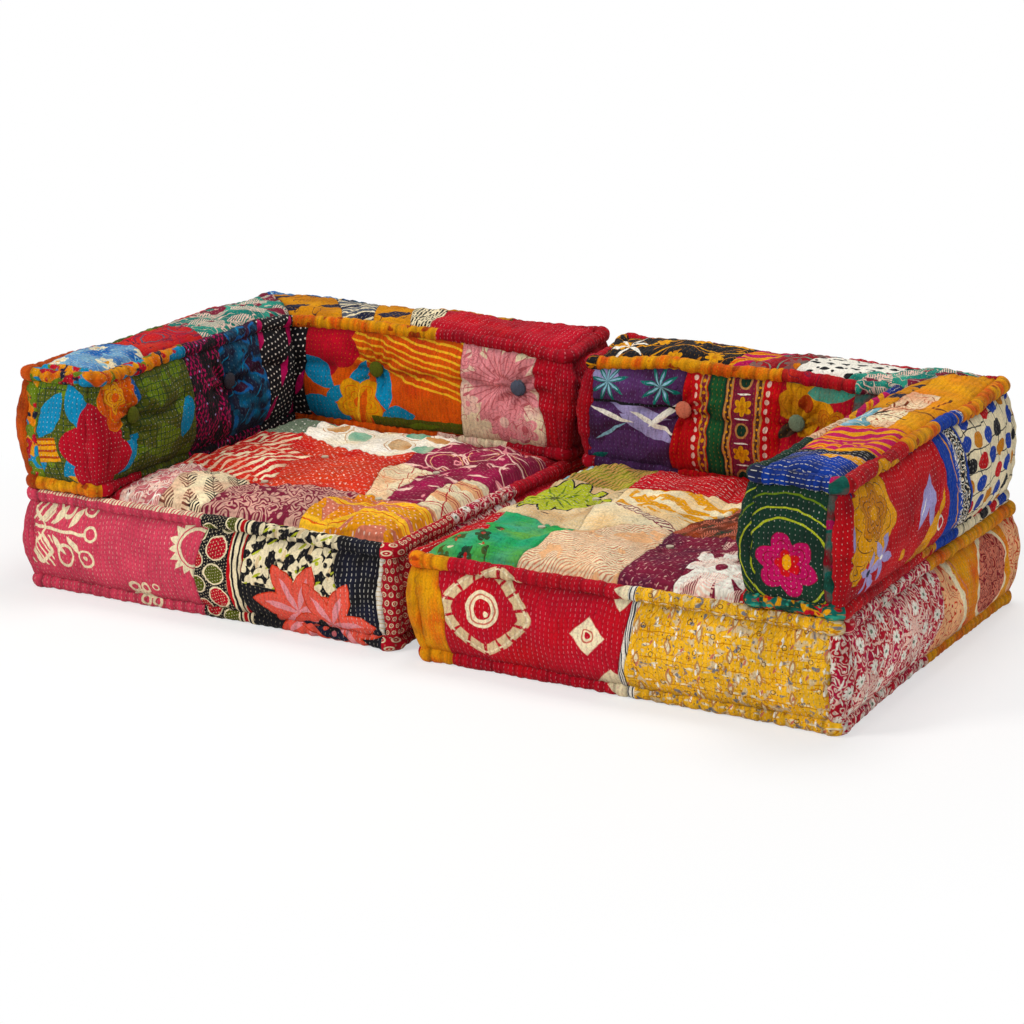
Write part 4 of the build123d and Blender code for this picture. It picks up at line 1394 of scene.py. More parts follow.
# The cloths: a key, what it is, its ground, the way and colour of its running stitches, its layers
CLOTHS = {
    "r": ("raspberry print", "raspberry", "v", "pale pink", [
        ("ring", 182, 182, 15, 5, "cream"), ("ring", 190, 134, 13, 5, "cream"),
        ("ring", 178, 82, 17, 5, "cream"), ("disc", 182, 182, 5, "cream"),
        ("disc", 178, 82, 5, "cream"), ("ring", 128, 180, 17, 5, "cream", 1.3),
        ("ring", 128, 84, 17, 5, "cream", 1.3), ("strap", 45, 132, 178, 132, 6, "cream"),
        ("row_of", "leaf", [(112, 160), (150, 158)], 48, 13, 50, "cream"),
        ("row_of", "leaf", [(112, 104), (150, 106)], 48, 13, 130, "cream"),
        ("only", 36, 98, 142, 204), ("diamond", 66, 172, 34, 34, "cream"),
        ("diamond", 66, 172, 24, 24, "raspberry"), ("stripes", 45, 12, 4, "cream"),
        ("only", 36, 98, 56, 118), ("diamond", 66, 88, 34, 34, "cream"),
        ("diamond", 66, 88, 24, 24, "raspberry"), ("stripes", 135, 12, 4, "cream"),
        ("everywhere",), ("strap", 40, 172, 76, 134, 5, "cream"),
        ("strap", 40, 90, 76, 130, 5, "cream"),
        ("row_of", "ring", [(286, 42), (314, 42), (286, 16), (314, 16)], 10, 6, "cream"),
        ("disc", 300, 29, 8, "cream"), ("ring", 342, 50, 6, 3, "cream"),
        ("daisy", 437, 142, 58, 19, 18, "cream", 8), ("disc", 437, 142, 38, "raspberry"),
        ("ring", 437, 142, 33, 5, "cream")]),
    "!": ("raspberry edging", "raspberry", "n", "white", [
        ("only", 0, 437, 196, 216), ("stripes", 80, 7, 4.2, "cream"), ("everywhere",)]),
    "b": ("circle border", "black", "n", "cream", [
        ("row_of", "disc", [(497, 196), (484, 147), (480, 97), (483, 49), (486, 8)], 22.5, "cream"),
        ("row_of", "disc", [(497, 196), (480, 97), (486, 8)], 19.5, "olive"),
        ("row_of", "disc", [(484, 147), (483, 49)], 19.5, "crimson"),
        ("row_of", "disc", [(440, 172), (440, 122), (440, 72), (444, 24)], 18, "cream"),
        ("row_of", "disc", [(440, 172), (440, 72)], 15.5, "olive"),
        ("row_of", "disc", [(440, 122), (444, 24)], 15.5, "crimson"),
        ("dots", 6, 0.8, "cream", 20)]),
    "s": ("fine stripes", "cream", None, None, [
        ("stripes", 90, 33, 9, "red", 16), ("stripes", 90, 33, 5, "black", 6),
        ("stripes", 90, 33, 4, "black", 26)]),
    "f": ("black foliage", "black", "n", "cream", [
        ("only", 548, 772, 84, 260, -4), ("leaves", 28, 28, 15, 35, "cream"),
        ("leaves", 33, 32, 16, 100, "cream"), ("blooms", 47, 17, 4, "cream", "lime", 25),
        ("leaves", 37, 22, 5, 35, "lime"), ("leaves", 52, 26, 8, 80, "beige"),
        ("blotch", 26, 0.62, "black"), ("everywhere",), *CORAL_FLOWER]),
    "n": ("dark stripe", "black", "v", "white", [("wash", 40, "navy"), *CORAL_FLOWER]),
    "w": ("white piping", "white", None, None, [("stripes", 0, 9, 2, "beige")]),
    "e": ("ringed red", "crimson", "n", "cream", [
        ("rings", 15, 4.0, 1.8, "cream"), ("dots", 15, 1.0, "cream")]),
    "o": ("ochre", "gold", "v", "yellow", [
        ("wash", 50, "orange", 0.8), ("blotch", 44, 0.62, "ochre")]),
    "t": ("tied red", "crimson", "v", "pink", [
        ("wash", 90, "red"), ("wreath", 187, 120, 97, 84, 26, 14, "beige"),
        ("wreath", 187, 120, 92, 79, 4, 40, "cream"), ("ring", 183, 124, 26, 15, "cream"),
        ("disc", 190, 116, 5, "cream"), ("ring", 183, 124, 26, 3, "salmon"),
        ("diamond", 398, 111, 34, 34, "cream"), ("ring", 398, 111, 11, 3, "salmon"),
        ("disc", 398, 111, 6, "crimson"), ("diamond", 454, 196, 36, 36, "cream"),
        ("diamond", 440, 22, 36, 34, "cream")]),
    "p": ("striped piping", "white", None, None, [
        ("stripes", 90, 8, 2.4, "navy"), ("stripes", 90, 16, 2, "grey", 4)]),
    "y": ("yellow blocks", "yellow", "v", "cream", [
        ("wash", 60, "gold", 0.3), ("stripes", 0, 46, 1.4, "ochre"), ("blotch", 17, 0.62, "beige"),
        ("blotch", 14, 0.66, "grey"), ("leaves", 33, 15, 4, 0, "cream"),
        ("leaves", 58, 30, 13, 90, "tan"), ("leaves", 58, 18, 6, 90, "cream"),
        ("leaves", 39, 13, 4, 90, "white"), ("rings", 46, 4, 1.2, "brown", 45),
        ("scribble", 26, 12, 1.0, "ochre"), ("leaves", 52, 12, 4, 60, "salmon"),
        ("dots", 21, 1.1, "brown", 15)]),
    "m": ("floral crimson", "crimson", "n", "pink", [
        ("wash", 60, "magenta", 0.4), ("scribble", 20, 7, 2.6, "pale pink"),
        ("daisy", 96, 46, 66, 6, 19, "pale pink", 8),
        ("daisy", 300, 110, 70, 6, 19, "pale pink", 0), ("leaves", 34, 22, 4, 62, "white"),
        ("blooms", 52, 13, 9, "white", "grey green", 12), ("rings", 52, 15, 1.6, "crimson", 12),
        ("leaves", 41, 14, 3, 110, "white"), ("dots", 17, 1.3, "white", 40)]),
    "q": ("ochre print", "gold", "n", "cream", [
        ("wash", 50, "orange", 0.7), ("only", 300, 520, -40, 260, 26), ("fill", "peach"),
        ("scribble", 36, 9, 2.2, "brick"), ("blooms", 44, 14, 8, "peach", "crimson", 10),
        ("everywhere",), ("strap", 446, 250, 596, -20, 15, "cream"),
        ("strap", 470, 250, 616, -20, 3, "salmon"), ("disc", 690, 104, 84, "cream"),
        ("disc", 690, 104, 76, "salmon"), ("within", 690, 104, 74),
        ("scribble", 20, 6, 2.8, "deep red"), ("blooms", 40, 12, 7, "salmon", "deep red", 10),
        ("only", 790, 900, 0, 250, 16), ("fill", "peach"), ("scribble", 30, 8, 2.4, "brick"),
        ("everywhere",)]),
    "R": ("gold rose red", "red", "d", "white", [("wash", 80, "deep red", 0.4), *ROSE]),
    "F": ("filigree strip", "cobalt", "n", "sky", [
        ("strap", 700, 270, 800, 0, 34, "black"), ("only", 725, 765, -40, 300, 20),
        ("scribble", 18, 6, 1.8, "white"), ("dots", 12, 2, "beige", 20), ("everywhere",),
        ("strap", 660, 270, 756, 0, 4, "gold")]),
    "V": ("oval grid", "cream", "n", "white", [
        ("waves", 3, 40, 2.4, 3, "black", 120), ("waves", 93, 56, 2.8, 4, "black", 110), *OVALS]),
    "a": ("olive garden", "olive", "d", "white", GARDEN),
    "i": ("rust strip", "rust", "n", "gold", [("wash", 40, "orange")]),
    "j": ("bright jumble", "gold", "d", "cream", [
        ("wash", 30, "orange", 0.8), ("blotch", 44, 0.55, "turquoise"),
        ("blotch", 38, 0.57, "leaf"), ("blotch", 30, 0.60, "crimson"),
        ("blotch", 24, 0.63, "navy")]),
    "u": ("speckled plum", "black", "n", "magenta", [
        ("wash", 60, "plum", 0.9), ("leaves", 11, 10, 3.6, 62, "magenta"),
        ("leaves", 13, 9, 3.0, 118, "magenta"), ("blotch", 40, 0.57, "black"),
        ("dots", 33, 2.0, "lilac", 10)]),
    "v": ("blue petals", "navy", "n", "sky", [
        ("blotch", 56, 0.52, "blue"), ("wash", 26, "turquoise", 0.4), ("blotch", 30, 0.56, "navy"),
        ("blotch", 56, 0.58, "plum"), ("leaves", 60, 40, 3, 50, "turquoise")]),
    "d": ("white spots", "black", None, None, [
        ("dots", 12, 1.9, "white", 12), ("leaves", 90, 70, 18, 60, "magenta")]),
    "c": ("crimson", "crimson", "v", "pink", [("wash", 80, "red"), ("wash", 50, "deep red", 0.3)]),
    "B": ("orange garden", "orange", "d", "gold", [
        ("wash", 70, "brick"), ("only", 110, 440, 128, 270, -15),
        ("waves", -13, 13.5, 4.4, 3, "yellow", 190), ("everywhere",),
        ("bloom", 74, 196, 78, 5, "crimson", "crimson", None, 10, 0.25),
        ("leaf", 50, 128, 110, 50, -35, "turquoise"), ("leaf", 60, 46, 132, 60, 165, "turquoise"),
        ("leaf", 96, 84, 70, 30, 40, "turquoise"), ("leaf", 150, 122, 80, 40, 70, "turquoise"),
        ("leaf", 210, 110, 100, 46, 105, "turquoise"), ("leaf", 244, 50, 90, 46, 10, "turquoise"),
        ("bloom", 152, 70, 58, 5, "gold", "orange", "orange", 20, 0.32),
        ("leaf", 158, 56, 100, 20, 76, "orange"), ("leaf", 150, 60, 90, 7, 84, "yellow"),
        ("strap", 180, 34, 420, 40, 24, "olive"), ("leaf", 300, 34, 90, 14, 4, "leaf")]),
    "K": ("pink garden", "cream", "n", "rose", [
        ("wash", 60, "pale pink", 0.8), ("daisy", 492, 148, 96, 34, 11, "pink", 12),
        ("daisy", 492, 148, 104, 2.4, 26, "rose", 12),
        ("bloom", 500, 70, 46, 7, "pink", "pale pink", "rose", 30, 0.3),
        ("bloom", 546, 60, 34, 5, "pink", "rose", "pale pink"),
        ("bloom", 414, 200, 34, 5, "pink", "pale pink", "rose"),
        ("bloom", 420, 100, 26, 5, "pale pink", "pink"), ("leaves", 70, 24, 6, 30, "rose"),
        ("scribble", 36, 22, 1.2, "rose"), ("only", 380, 470, 0, 66), ("wash", 60, "cream", 2.0)]),
    "E": ("purple garden", "purple", "n", "lilac", [
        ("wash", 60, "plum", 0.8), ("leaf", 60, 214, 90, 40, -14, "lilac"),
        ("daisy", 80, 192, 48, 9, 9, "teal", 12), ("daisy", 80, 192, 34, 4, 9, "sky", 12),
        ("daisy", 200, 186, 44, 9, 8, "teal", 30), ("daisy", 200, 186, 30, 4, 8, "sky", 30),
        ("leaf", 150, 136, 150, 20, -12, "lilac"), ("leaf", 176, 104, 130, 34, -24, "lilac"),
        ("leaf", 190, 112, 110, 10, -24, "white"), ("leaf", 96, 124, 110, 10, -14, "white"),
        # The black line across this cloth at about v 150 is painted shadow of the fold across the band
        # there
        ("leaf", 212, 132, 86, 14, 38, "white"), ("strap", 20, 152, 240, 146, 6, "black"),
        ("leaf", 130, 60, 130, 70, 8, "purple"), ("leaf", 60, 30, 50, 12, 20, "teal"),
        ("leaf", 96, 90, 90, 7, 30, "sky")]),
    "G": ("ornate border", "red", "n", "gold", [
        ("row_of", "oval", [(276, 8 + 17 * k) for k in range(15)], 4.2, 5.6, "pale pink"),
        ("row_of", "oval", [(427, 8 + 17 * k) for k in range(15)], 4.2, 5.6, "pale pink"), *BORDER,
        ("only", 286, 302, -20, 280), ("dots", 12, 3.4, "gold"), ("only", 342, 354, -20, 280),
        ("dots", 10, 2.4, "gold"), ("only", 404, 416, -20, 280), ("dots", 10, 2.4, "gold"),
        ("everywhere",), ("row_of", "oval", [(379, 26 + 94 * k) for k in range(3)], 15, 15, "tan"),
        ("row_of", "oval", [(379, 26 + 94 * k) for k in range(3)], 11, 11, "dark green"),
        ("row_of", "bloom", [(379, 73 + 94 * k) for k in range(3)], 19, 6, "gold", "ochre"),
        ("row_of", "oval", [(379, 2 + 47 * k) for k in range(6)], 15, 1.6, "white")]),
    "H": ("gold on red", "crimson", "n", "gold", [
        ("leaf", 566, 108, 150, 60, 84, "dark green"), ("leaf", 566, 108, 120, 20, 84, "leaf"),
        ("bloom", 506, 186, 66, 5, "gold", "rust", "ochre", 12, 0.3),
        ("bloom", 560, 150, 36, 4, "ochre", "gold", "rust"),
        ("leaf", 560, 214, 110, 40, 10, "sea"), ("leaf", 470, 130, 60, 24, 40, "dark green"),
        ("leaf", 630, 160, 110, 50, 60, "dark green"),
        ("leaf", 640, 70, 120, 40, 100, "dark green"), ("wash", 44, "deep red", 0.3)]),
    "J": ("night garden", "dark green", "d", "white", [
        ("wash", 60, "black", 0.4), ("ring", 104, 90, 78, 3.4, "lime", 1.0),
        ("ring", 104, 96, 100, 3.2, "lime", 0.9), ("ring", 104, 104, 122, 3.4, "leaf", 0.85),
        ("ring", 104, 112, 146, 3, "lime", 0.8), ("ring", 104, 120, 172, 4, "leaf", 0.76),
        ("bloom", 104, 88, 58, 6, "magenta", "crimson", "deep red", 12, 0.3),
        ("bloom", 108, 92, 24, 5, "red", "gold"), ("oval", 106, 94, 8, 13, "gold")]),
    "L": ("teal and red", "dark green", "n", "sea", [
        ("blotch", 46, 0.50, "deep red"), ("wash", 30, "teal", 0.7),
        ("blotch", 30, 0.62, "magenta")]),
    "N": ("speckled strip", "dark green", "u", "gold", [
        ("wash", 24, "teal", 0.9), ("blotch", 18, 0.56, "gold"), ("blotch", 13, 0.60, "sea"),
        ("blotch", 15, 0.62, "crimson")]),
    "P": ("pale ferns", "rose", "u", "white", [
        ("blooms", 56, 17, 6, "pale pink", "maroon", 20), ("fern", 40, 50, "pale pink", 40),
        ("scribble", 40, 14, 1.6, "white")]),
    "C": ("dark ferns", "cream", "u", "beige", [
        ("fern", 52, 128, "black", 46, 8.0), ("wash", 44, "salmon", 0.4)]),
    "M": ("maroon swirls", "mauve", "u", "maroon", [
        ("scribble", 26, 6.6, 3.0, "maroon"), ("blooms", 96, 22, 8, "maroon", "mauve", 20)]),
    "Q": ("golden waves", "gold", "u", "salmon", [
        ("wash", 50, "orange", 0.6), ("blotch", 60, 0.53, "salmon"),
        ("dots", 11, 1.6, "pale pink", 10), ("waves", 14, 90, 26, 16, "yellow", 210),
        ("waves", 14, 90, 3, 16, "orange", 210)]),
    "S": ("curved stripes", "red", "u", "pale pink", [
        ("waves", 70, 20, 7.5, 14, "cream", 620), ("wash", 60, "brick", 0.4)]),
    "D": ("spotted brick", "brick", "u", "pale pink", [
        ("dots", 13, 1.8, "pale pink", 15), ("wash", 70, "red")]),
    "l": ("ribbed olive", "tan", "u", "beige", [
        ("stripes", 84, 8, 3.2, "olive"), ("wash", 60, "lime", 0.5)]),
    "k": ("brown ferns", "brown", "u", "salmon", [
        ("fern", 46, 66, "salmon", 34), ("stripes", 66, 68, 6, "dark green"),
        ("wash", 50, "rust", 0.5)]),
    "g": ("green flowers", "green", "u", "sea", [
        ("wash", 60, "sea", 0.6), ("only", 40, 156, 30, 150, 10),
        ("blooms", 44, 15, 5, "dark green", "crimson", 14), ("leaves", 37, 18, 6, 50, "black"),
        ("leaves", 47, 14, 5, 120, "crimson"), ("leaves", 53, 14, 5, 20, "cream"), ("everywhere",),
        ("wash", 80, "lime", 0.2)]),
    "h": ("salmon ripples", "cream", "u", "cream", [
        ("waves", 38, 5.2, 1.9, 4, "salmon", 60), ("blotch", 40, 0.60, "peach"),
        ("wash", 70, "peach", 0.3)]),
    "I": ("great flower", "beige", "u", "white", [
        ("wash", 60, "tan", 0.5), ("daisy", 118, 398, 112, 44, 14, "black"),
        ("daisy", 118, 398, 107, 37, 14, "lime"), ("disc", 118, 398, 42, "lime"),
        ("daisy", 118, 398, 86, 5, 14, "leaf"), ("disc", 118, 398, 12, "olive"),
        ("daisy", 20, 330, 60, 24, 10, "black"), ("daisy", 20, 330, 56, 18, 10, "lime"),
        ("leaves", 70, 24, 3, 30, "brown")]),
    "z": ("orange waves", "cream", "u", "white", [
        ("only", 230, 500, 372, 520, -14), ("waves", -14, 44, 24, 9, "gold", 120),
        ("leaves", 46, 30, 13, 40, "cream"), ("everywhere",), ("wash", 80, "gold", 0.35),
        ("strap", 196, 414, 440, 286, 24, "maroon"), ("strap", 196, 414, 440, 286, 19, "cream"),
        ("only", 190, 446, 341, 359, -28), ("stripes", 20, 9, 4, "maroon"), ("everywhere",)]),
    "(": ("spotted plum", "maroon", "u", "pink", [
        ("leaves", 15, 6, 1.8, 60, "pale pink"), ("wash", 50, "plum")]),
    ")": ("white feather", "maroon", "u", "pink", [
        ("daisy", 600, 110, 120, 30, 9, "white", 20), ("fern", 60, 40, "pale pink", 60, 5.0),
        ("disc", 600, 110, 12, "maroon")]),
    "Z": ("maroon lines", "maroon", "u", "pink", [
        ("wash", 60, "magenta", 0.4), ("scribble", 60, 38, 3.6, "pink"),
        ("leaves", 60, 44, 9, 20, "pale pink"),
        ("row_of", "ring", [(740, 560), (820, 600), (690, 500), (850, 520)], 42, 3, "pale pink"),
        ("row_of", "ring", [(740, 560), (820, 600), (690, 500)], 32, 2, "peach")]),
    "O": ("circles on white", "white", "u", "beige", [
        ("row_of", "disc", [(385, 585), (505, 620), (560, 540), (610, 605)], 24, "tan"),
        ("row_of", "disc", [(445, 575), (560, 610), (620, 530), (350, 640)], 25, "sea"),
        ("row_of", "ring", [(385, 585), (445, 575), (505, 620), (560, 540), (560, 610)], 31, 2, "tan"),
        ("wash", 50, "cream")]),
    "W": ("grey dots", "grey green", "u", "white", [
        ("dots", 19, 1.8, "white", 20), ("blooms", 57, 8, 6, "cream", "grey green", 20)]),
    "X": ("red line work", "cream", "u", "peach", [
        ("stripes", 22, 62, 2.4, "crimson"), ("stripes", 22, 62, 2.4, "crimson", 8),
        ("stripes", 112, 70, 2.4, "crimson"), ("scribble", 44, 26, 1.4, "brick"),
        ("wash", 50, "peach", 0.6)]),
    "Y": ("cream and wine", "cream", "u", "pink", [
        ("stripes", 20, 84, 30, "peach"), ("stripes", 20, 42, 2.2, "crimson"),
        ("stripes", 20, 42, 2.2, "crimson", 7), ("stripes", 110, 62, 2.2, "crimson")]),
    "x": ("dashed red", "red", "U", "white", [("wash", 70, "crimson")]),
    "1": ("blue and cream", "blue", "u", "cream", [
        ("wash", 50, "sky", 0.6), ("blooms", 96, 22, 7, "cream", "gold", 20),
        ("scribble", 44, 19, 1.8, "sky")]),
    "2": ("dark paisley", "crimson", "v", "coral", [
        ("wash", 60, "brick", 0.5),
        ("row_of", "ring", [(110, 330), (130, 400), (90, 450)], 40, 5, "maroon", 0.8),
        ("row_of", "ring", [(110, 330), (130, 400)], 26, 4, "slate", 0.8),
        ("row_of", "ring", [(70, 280), (150, 460)], 30, 4, "navy", 0.7),
        ("scribble", 46, 26, 2.4, "maroon")]),
    "3": ("sea and rose", "teal", "d", "cream", [
        ("wash", 60, "sea", 0.9), ("fern", 44, 60, "pale pink", 80, 6.0),
        ("blotch", 44, 0.58, "maroon"), ("scribble", 40, 24, 1.6, "pale pink")]),
    "4": ("mustard", "ochre", "u", "gold", [
        ("wash", 56, "gold", 0.6), ("leaves", 92, 74, 34, 24, "navy"),
        ("scribble", 50, 34, 1.8, "brown")]),
    "5": ("dark stripes", "slate", "v", "cream", [
        ("waves", 28, 15, 5, 3, "cream", 150), ("leaves", 80, 60, 26, 30, "navy")]),
    "6": ("monochrome strip", "black", "u", "cream", [
        ("stripes", 100, 7, 3, "cream"), ("scribble", 26, 12, 2.4, "cream")]),
    "7": ("gold vines", "black", "n", "gold", [
        ("waves", 16, 54, 4, 14, "gold", 150), ("waves", 16, 54, 2, 22, "ochre", 110),
        ("blooms", 84, 20, 7, "gold", "ochre", 14), ("leaves", 46, 22, 6, 50, "ochre"),
        ("daisy", 90, 752, 62, 8, 6, "white", 20)]),
    "8": ("hot stripes", "magenta", "u", "orange", [
        ("waves", 28, 30, 14, 5, "gold", 200), ("waves", 28, 60, 5, 5, "orange", 200)]),
    "9": ("teal circles", "deep red", "u", "coral", [
        ("blooms", 90, 30, 10, "teal", "gold", 14), ("rings", 90, 38, 3, "sea", 14),
        ("wash", 60, "crimson")]),
    "0": ("spotted white", "white", None, None, [
        ("leaves", 30, 21, 11, 25, "black"), ("dots", 30, 3.2, "black", 52)]),
    "+": ("branch print", "cream", "n", "gold", [
        ("scribble", 26, 9, 1.3, "rust"), ("only", 800, 900, 200, 900, 0), ("fill", "gold"),
        ("only", 600, 900, 620, 900), ("fill", "gold"), ("everywhere",),
        ("strap", 716, 400, 850, 560, 6, "black"), ("strap", 752, 440, 760, 560, 5, "black"),
        ("strap", 780, 476, 868, 486, 5, "black"), ("strap", 740, 430, 812, 412, 4, "black"),
        ("strap", 756, 500, 730, 560, 4, "black"), ("strap", 816, 520, 822, 610, 4, "black"),
        ("oval", 722, 380, 17, 28, "slate"), ("wash", 70, "orange", 0.4)]),
    "-": ("sky cloth", "sky", "u", "white", [
        ("wash", 40, "teal", 0.6), ("scribble", 44, 20, 2.4, "cream")]),
    "=": ("cobalt dashes", "cobalt", "U", "white", [
        ("wash", 60, "navy", 0.8), ("only", 640, 900, 150, 190, 12), ("fill", "black"),
        ("everywhere",), ("leaf", 820, 140, 110, 34, 20, "gold")]),
    "#": ("orange roll", "gold", "v", "yellow", [
        ("wash", 36, "orange", 0.9), ("blotch", 30, 0.64, "rust")]),
    "$": ("grey button", "slate", None, None, []),
    "^": ("olive button", "olive", None, None, []),
    "~": ("dark button", "charcoal", None, None, []),
    "&": ("coral button", "salmon", None, None, []),
    "@": ("green button", "grey green", None, None, []),
    "_": ("underside cotton", "beige", "u", "cream", []),
    "%": ("cotton filling", "white", None, None, []),
}


def make_cloth(name, ground, way, thread, layers):
    """The material of one entry of the list of cloths."""
    cloth = Cloth(name, ground)
    for kind, *values in layers:
        getattr(cloth, kind)(*values)
    cloth.everywhere()
    if way:
        cloth.stitched(way, thread)
    return cloth.finish()


FABRICS = {code: make_cloth(*cloth) for code, cloth in CLOTHS.items()}


# Which cloth lies where. Each face has seams along u (cuts) and along v (rows), and its patches are
# named from the top row down. The first and last rows of a side face are its edge rolls. start is
# the u that its print begins at, where the print runs on from the face before.
def panel(cuts, *patches, bends=(), rows=(28, 174), start=0):
    """The layout of one face. Each bend is a place, how far the cloth moves there and its reach."""
    return {"cuts": cuts, "rows": rows, "patches": list(patches), "bends": bends, "start": start}


TALL = (28, 226)
ARM_WIDTH = 226
LAYOUTS = {
    "left": {
        "seat_front": panel((437, 515, 548, 745, 835, 845), "!bsfnwe", "rbsfnwe", "rbsfnwe",
                            bends=((437, 190, 16, 0, 60), (530, 95, -10, 0, 60), (745, 60, 12, 0, 50))),
        "seat_inner": panel((240, 480, 690), "emtx", "emtx", "emtx"),
        "seat_back": panel((220, 430, 660), "cmyo", "cmyo", "cmyo"),
        "seat_outer": panel((200, 420, 640), "moxr", "moxr", "moxr"),
        "arm_end": panel((40, 70), "ijj", "ija", "i##", rows=TALL),
        "arm_inner": panel((310, 450, 560), "juvd", "auvd", "auud", rows=TALL, start=ARM_WIDTH,
                           bends=((310, 40, 14, 0, 60), (450, 200, -24, 0, 60), (560, 60, 20, 0, 60))),
        "back_inner": panel((16, 390, 560), "d#cc", "dBKc", "dBKc", rows=TALL,
                            bends=((390, 120, 14, 0, 80), (560, 60, 36, 0, 60))),
        "back_end": panel((120,), "cc", "cH", "cc", rows=TALL),
        "back_outer": panel((230, 450, 660), "c4v1", "K4v1", "K4v1", rows=TALL),
        "arm_outer": panel((220, 420, 650), "32ai", "3u2i", "3u2i", rows=TALL),
    },
    "right": {
        "seat_front": panel((104, 462, 474, 836, 858), "#tpyym", "otpyym", "otpyym",
                            bends=((96, 190, -20, 0, 70), (468, 185, 12, 0, 60),
                                   (468, 20, -12, 0, 60))),
        "seat_outer": panel((425,), "mq", "mq", "mq",
                            bends=((425, 190, 24, 0, 80), (425, 10, -16, 0, 70))),
        "seat_back": panel((240, 470, 680), "yxmc", "yxmc", "yxmc"),
        "seat_inner": panel((260, 520), "otx", "otx", "otx"),
        "arm_end": panel((172,), "=L", "JL", "NN", rows=TALL),
        "arm_outer": panel((300, 450, 560), "R#F#", "RRFV", "RRFV", rows=TALL, start=ARM_WIDTH,
                           bends=((505, 236, -52, 0, 90), (505, 18, 34, 0, 90))),
        "back_inner": panel((35, 236, 450, 600), "7##23", "cEGHL", "cEGHL", rows=TALL,
                            bends=((236, 220, 18, 0, 70), (236, 30, -18, 0, 70))),
        "arm_inner": panel((110, 300, 470), "=8+J", "E1aJ", "E1aJ", rows=TALL),
        "back_end": panel((110,), "7c", "cE", "cc", rows=TALL),
        "back_outer": panel((210, 440, 660), "cccc", "2K93", "2K93", rows=TALL),
    },
}
TOPS = {
    "left": {
        "seat": panel((225, 325, 420, 640, 712, 790),
                      "ccxxccc", "cWOOZZZ", "cSDDZZZ", "cSSDXZY", "cPCMQQQ",
                      rows=(225, 430, 510, 655),
                      bends=((325, 460, 26, 20, 70), (420, 240, 20, -24, 80), (640, 430, -22, 26, 90),
                             (560, 520, 0, -40, 90), (640, 225, 24, 22, 70), (325, 225, -30, 24, 80))),
        "arm": panel((), "3", "3", "2", "1", "j", rows=(60, 240, 490, 700),
                     bends=((110, 240, 0, 24, 60), (60, 490, 0, -30, 70))),
        "back": panel((200, 290, 410, 500), "4546c", rows=(),
                      bends=((290, 800, 30, 0, 60), (500, 700, -40, 0, 70))),
    },
    "right": {
        "seat": panel((80, 215, 430, 540, 660), "llxkkc", "-lxkkc", "IIzkkc", "xgh()x", "ggh()x",
                      rows=(95, 275, 505, 663),
                      bends=((80, 95, 40, 30, 70), (215, 275, 24, -26, 90), (430, 505, 30, 24, 80),
                             (430, 275, -20, 26, 80), (215, 120, 30, 0, 70))),
        "arm": panel((740,), "4+", "4+", "-+", "88", "==", rows=(215, 360, 560, 700),
                     bends=((740, 360, 26, 22, 60), (760, 215, 0, -30, 70))),
        "back": panel((360, 430, 565, 690), "78903", rows=(),
                      bends=((360, 700, 30, 0, 60), (565, 800, -30, 0, 60))),
    },
}

SEAT_ORDER = {"left": ("seat_front", "seat_inner", "seat_back", "seat_outer"),
              "right": ("seat_front", "seat_outer", "seat_back", "seat_inner")}
REST_ORDER = {
    "left": ("arm_end", "arm_inner", "back_inner", "back_end", "back_outer", "arm_outer"),
    "right": ("arm_end", "arm_outer", "back_outer", "back_end", "back_inner", "arm_inner"),
}


def outer_corners(side, order):
    """The outer corners of a cushion's outline, each with the way that it points."""
    faces = [FACES[side][name] for name in order]
    corners = []
    for k, face in enumerate(faces):
        before = faces[k - 1].out
        if np.cross(before, face.out)[2] > 0:
            corners.append((face.corner[0], face.corner[1], (before + face.out)[:2]))
    return corners


# The pieces. An upright roll is given by its cloth and by the u of the print at its crest.
UPRIGHTS = {
    "left": {"seat": [("r", 0), ("e", 885), ("c", 0), ("o", 0)],
             "backrest": [("i", 0), ("a", 226), ("c", 0), ("c", 200), ("i", 300)]},
    "right": {"seat": [("o", 40), ("m", 0), ("q", 885), ("o", 0)],
              "backrest": [("J", 0), ("R", 226), ("V", 1110), ("7", 0), ("c", 0)]},
}
BUTTON_CODES = {"left": "$^~^", "right": "&@$@"}
for side in SIDES:
    for name, layout in LAYOUTS[side].items():
        band(side, name, layout)
    seat_top(side, TOPS[side]["seat"])
    for part in ("arm", "back"):
        backrest_top(side, part, TOPS[side][part])
        underside(side, "backrest", part)
    underside(side, "seat", None)
    for cushion, order in (("seat", SEAT_ORDER[side]), ("backrest", REST_ORDER[side])):
        for level in ("top", "bottom"):
            edge_roll(side, cushion, level, order, LAYOUTS[side])
        corners = outer_corners(side, order)
        uprights(side, cushion, corners, UPRIGHTS[side][cushion])
        filling(side, cushion, order)
    buttons(side, BUTTON_CODES[side])

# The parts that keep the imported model's own shape
CORD = plain_material("waxed cotton cord", "twine", 0.8, 0.0, 1.2)
PLATE = plain_material("brushed aluminium", "metal", 0.35, 1.0, 2.0)
for node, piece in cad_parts.items():
    if node.endswith(("tuft_knots", "tuft_cords", "button_plates")):
        piece.data.materials.clear()
        piece.data.materials.append(PLATE if node.endswith("plates") else CORD)


# The camera
def aim(place, target, roll=0.0):
    """The pose of a camera or lamp at a place that looks at a target, turned about its own axis."""
    turn = (Vector(target) - Vector(place)).to_track_quat("-Z", "Y").to_matrix().to_4x4()
    return Matrix.Translation(place) @ turn @ Matrix.Rotation(math.radians(roll), 4, "Z")


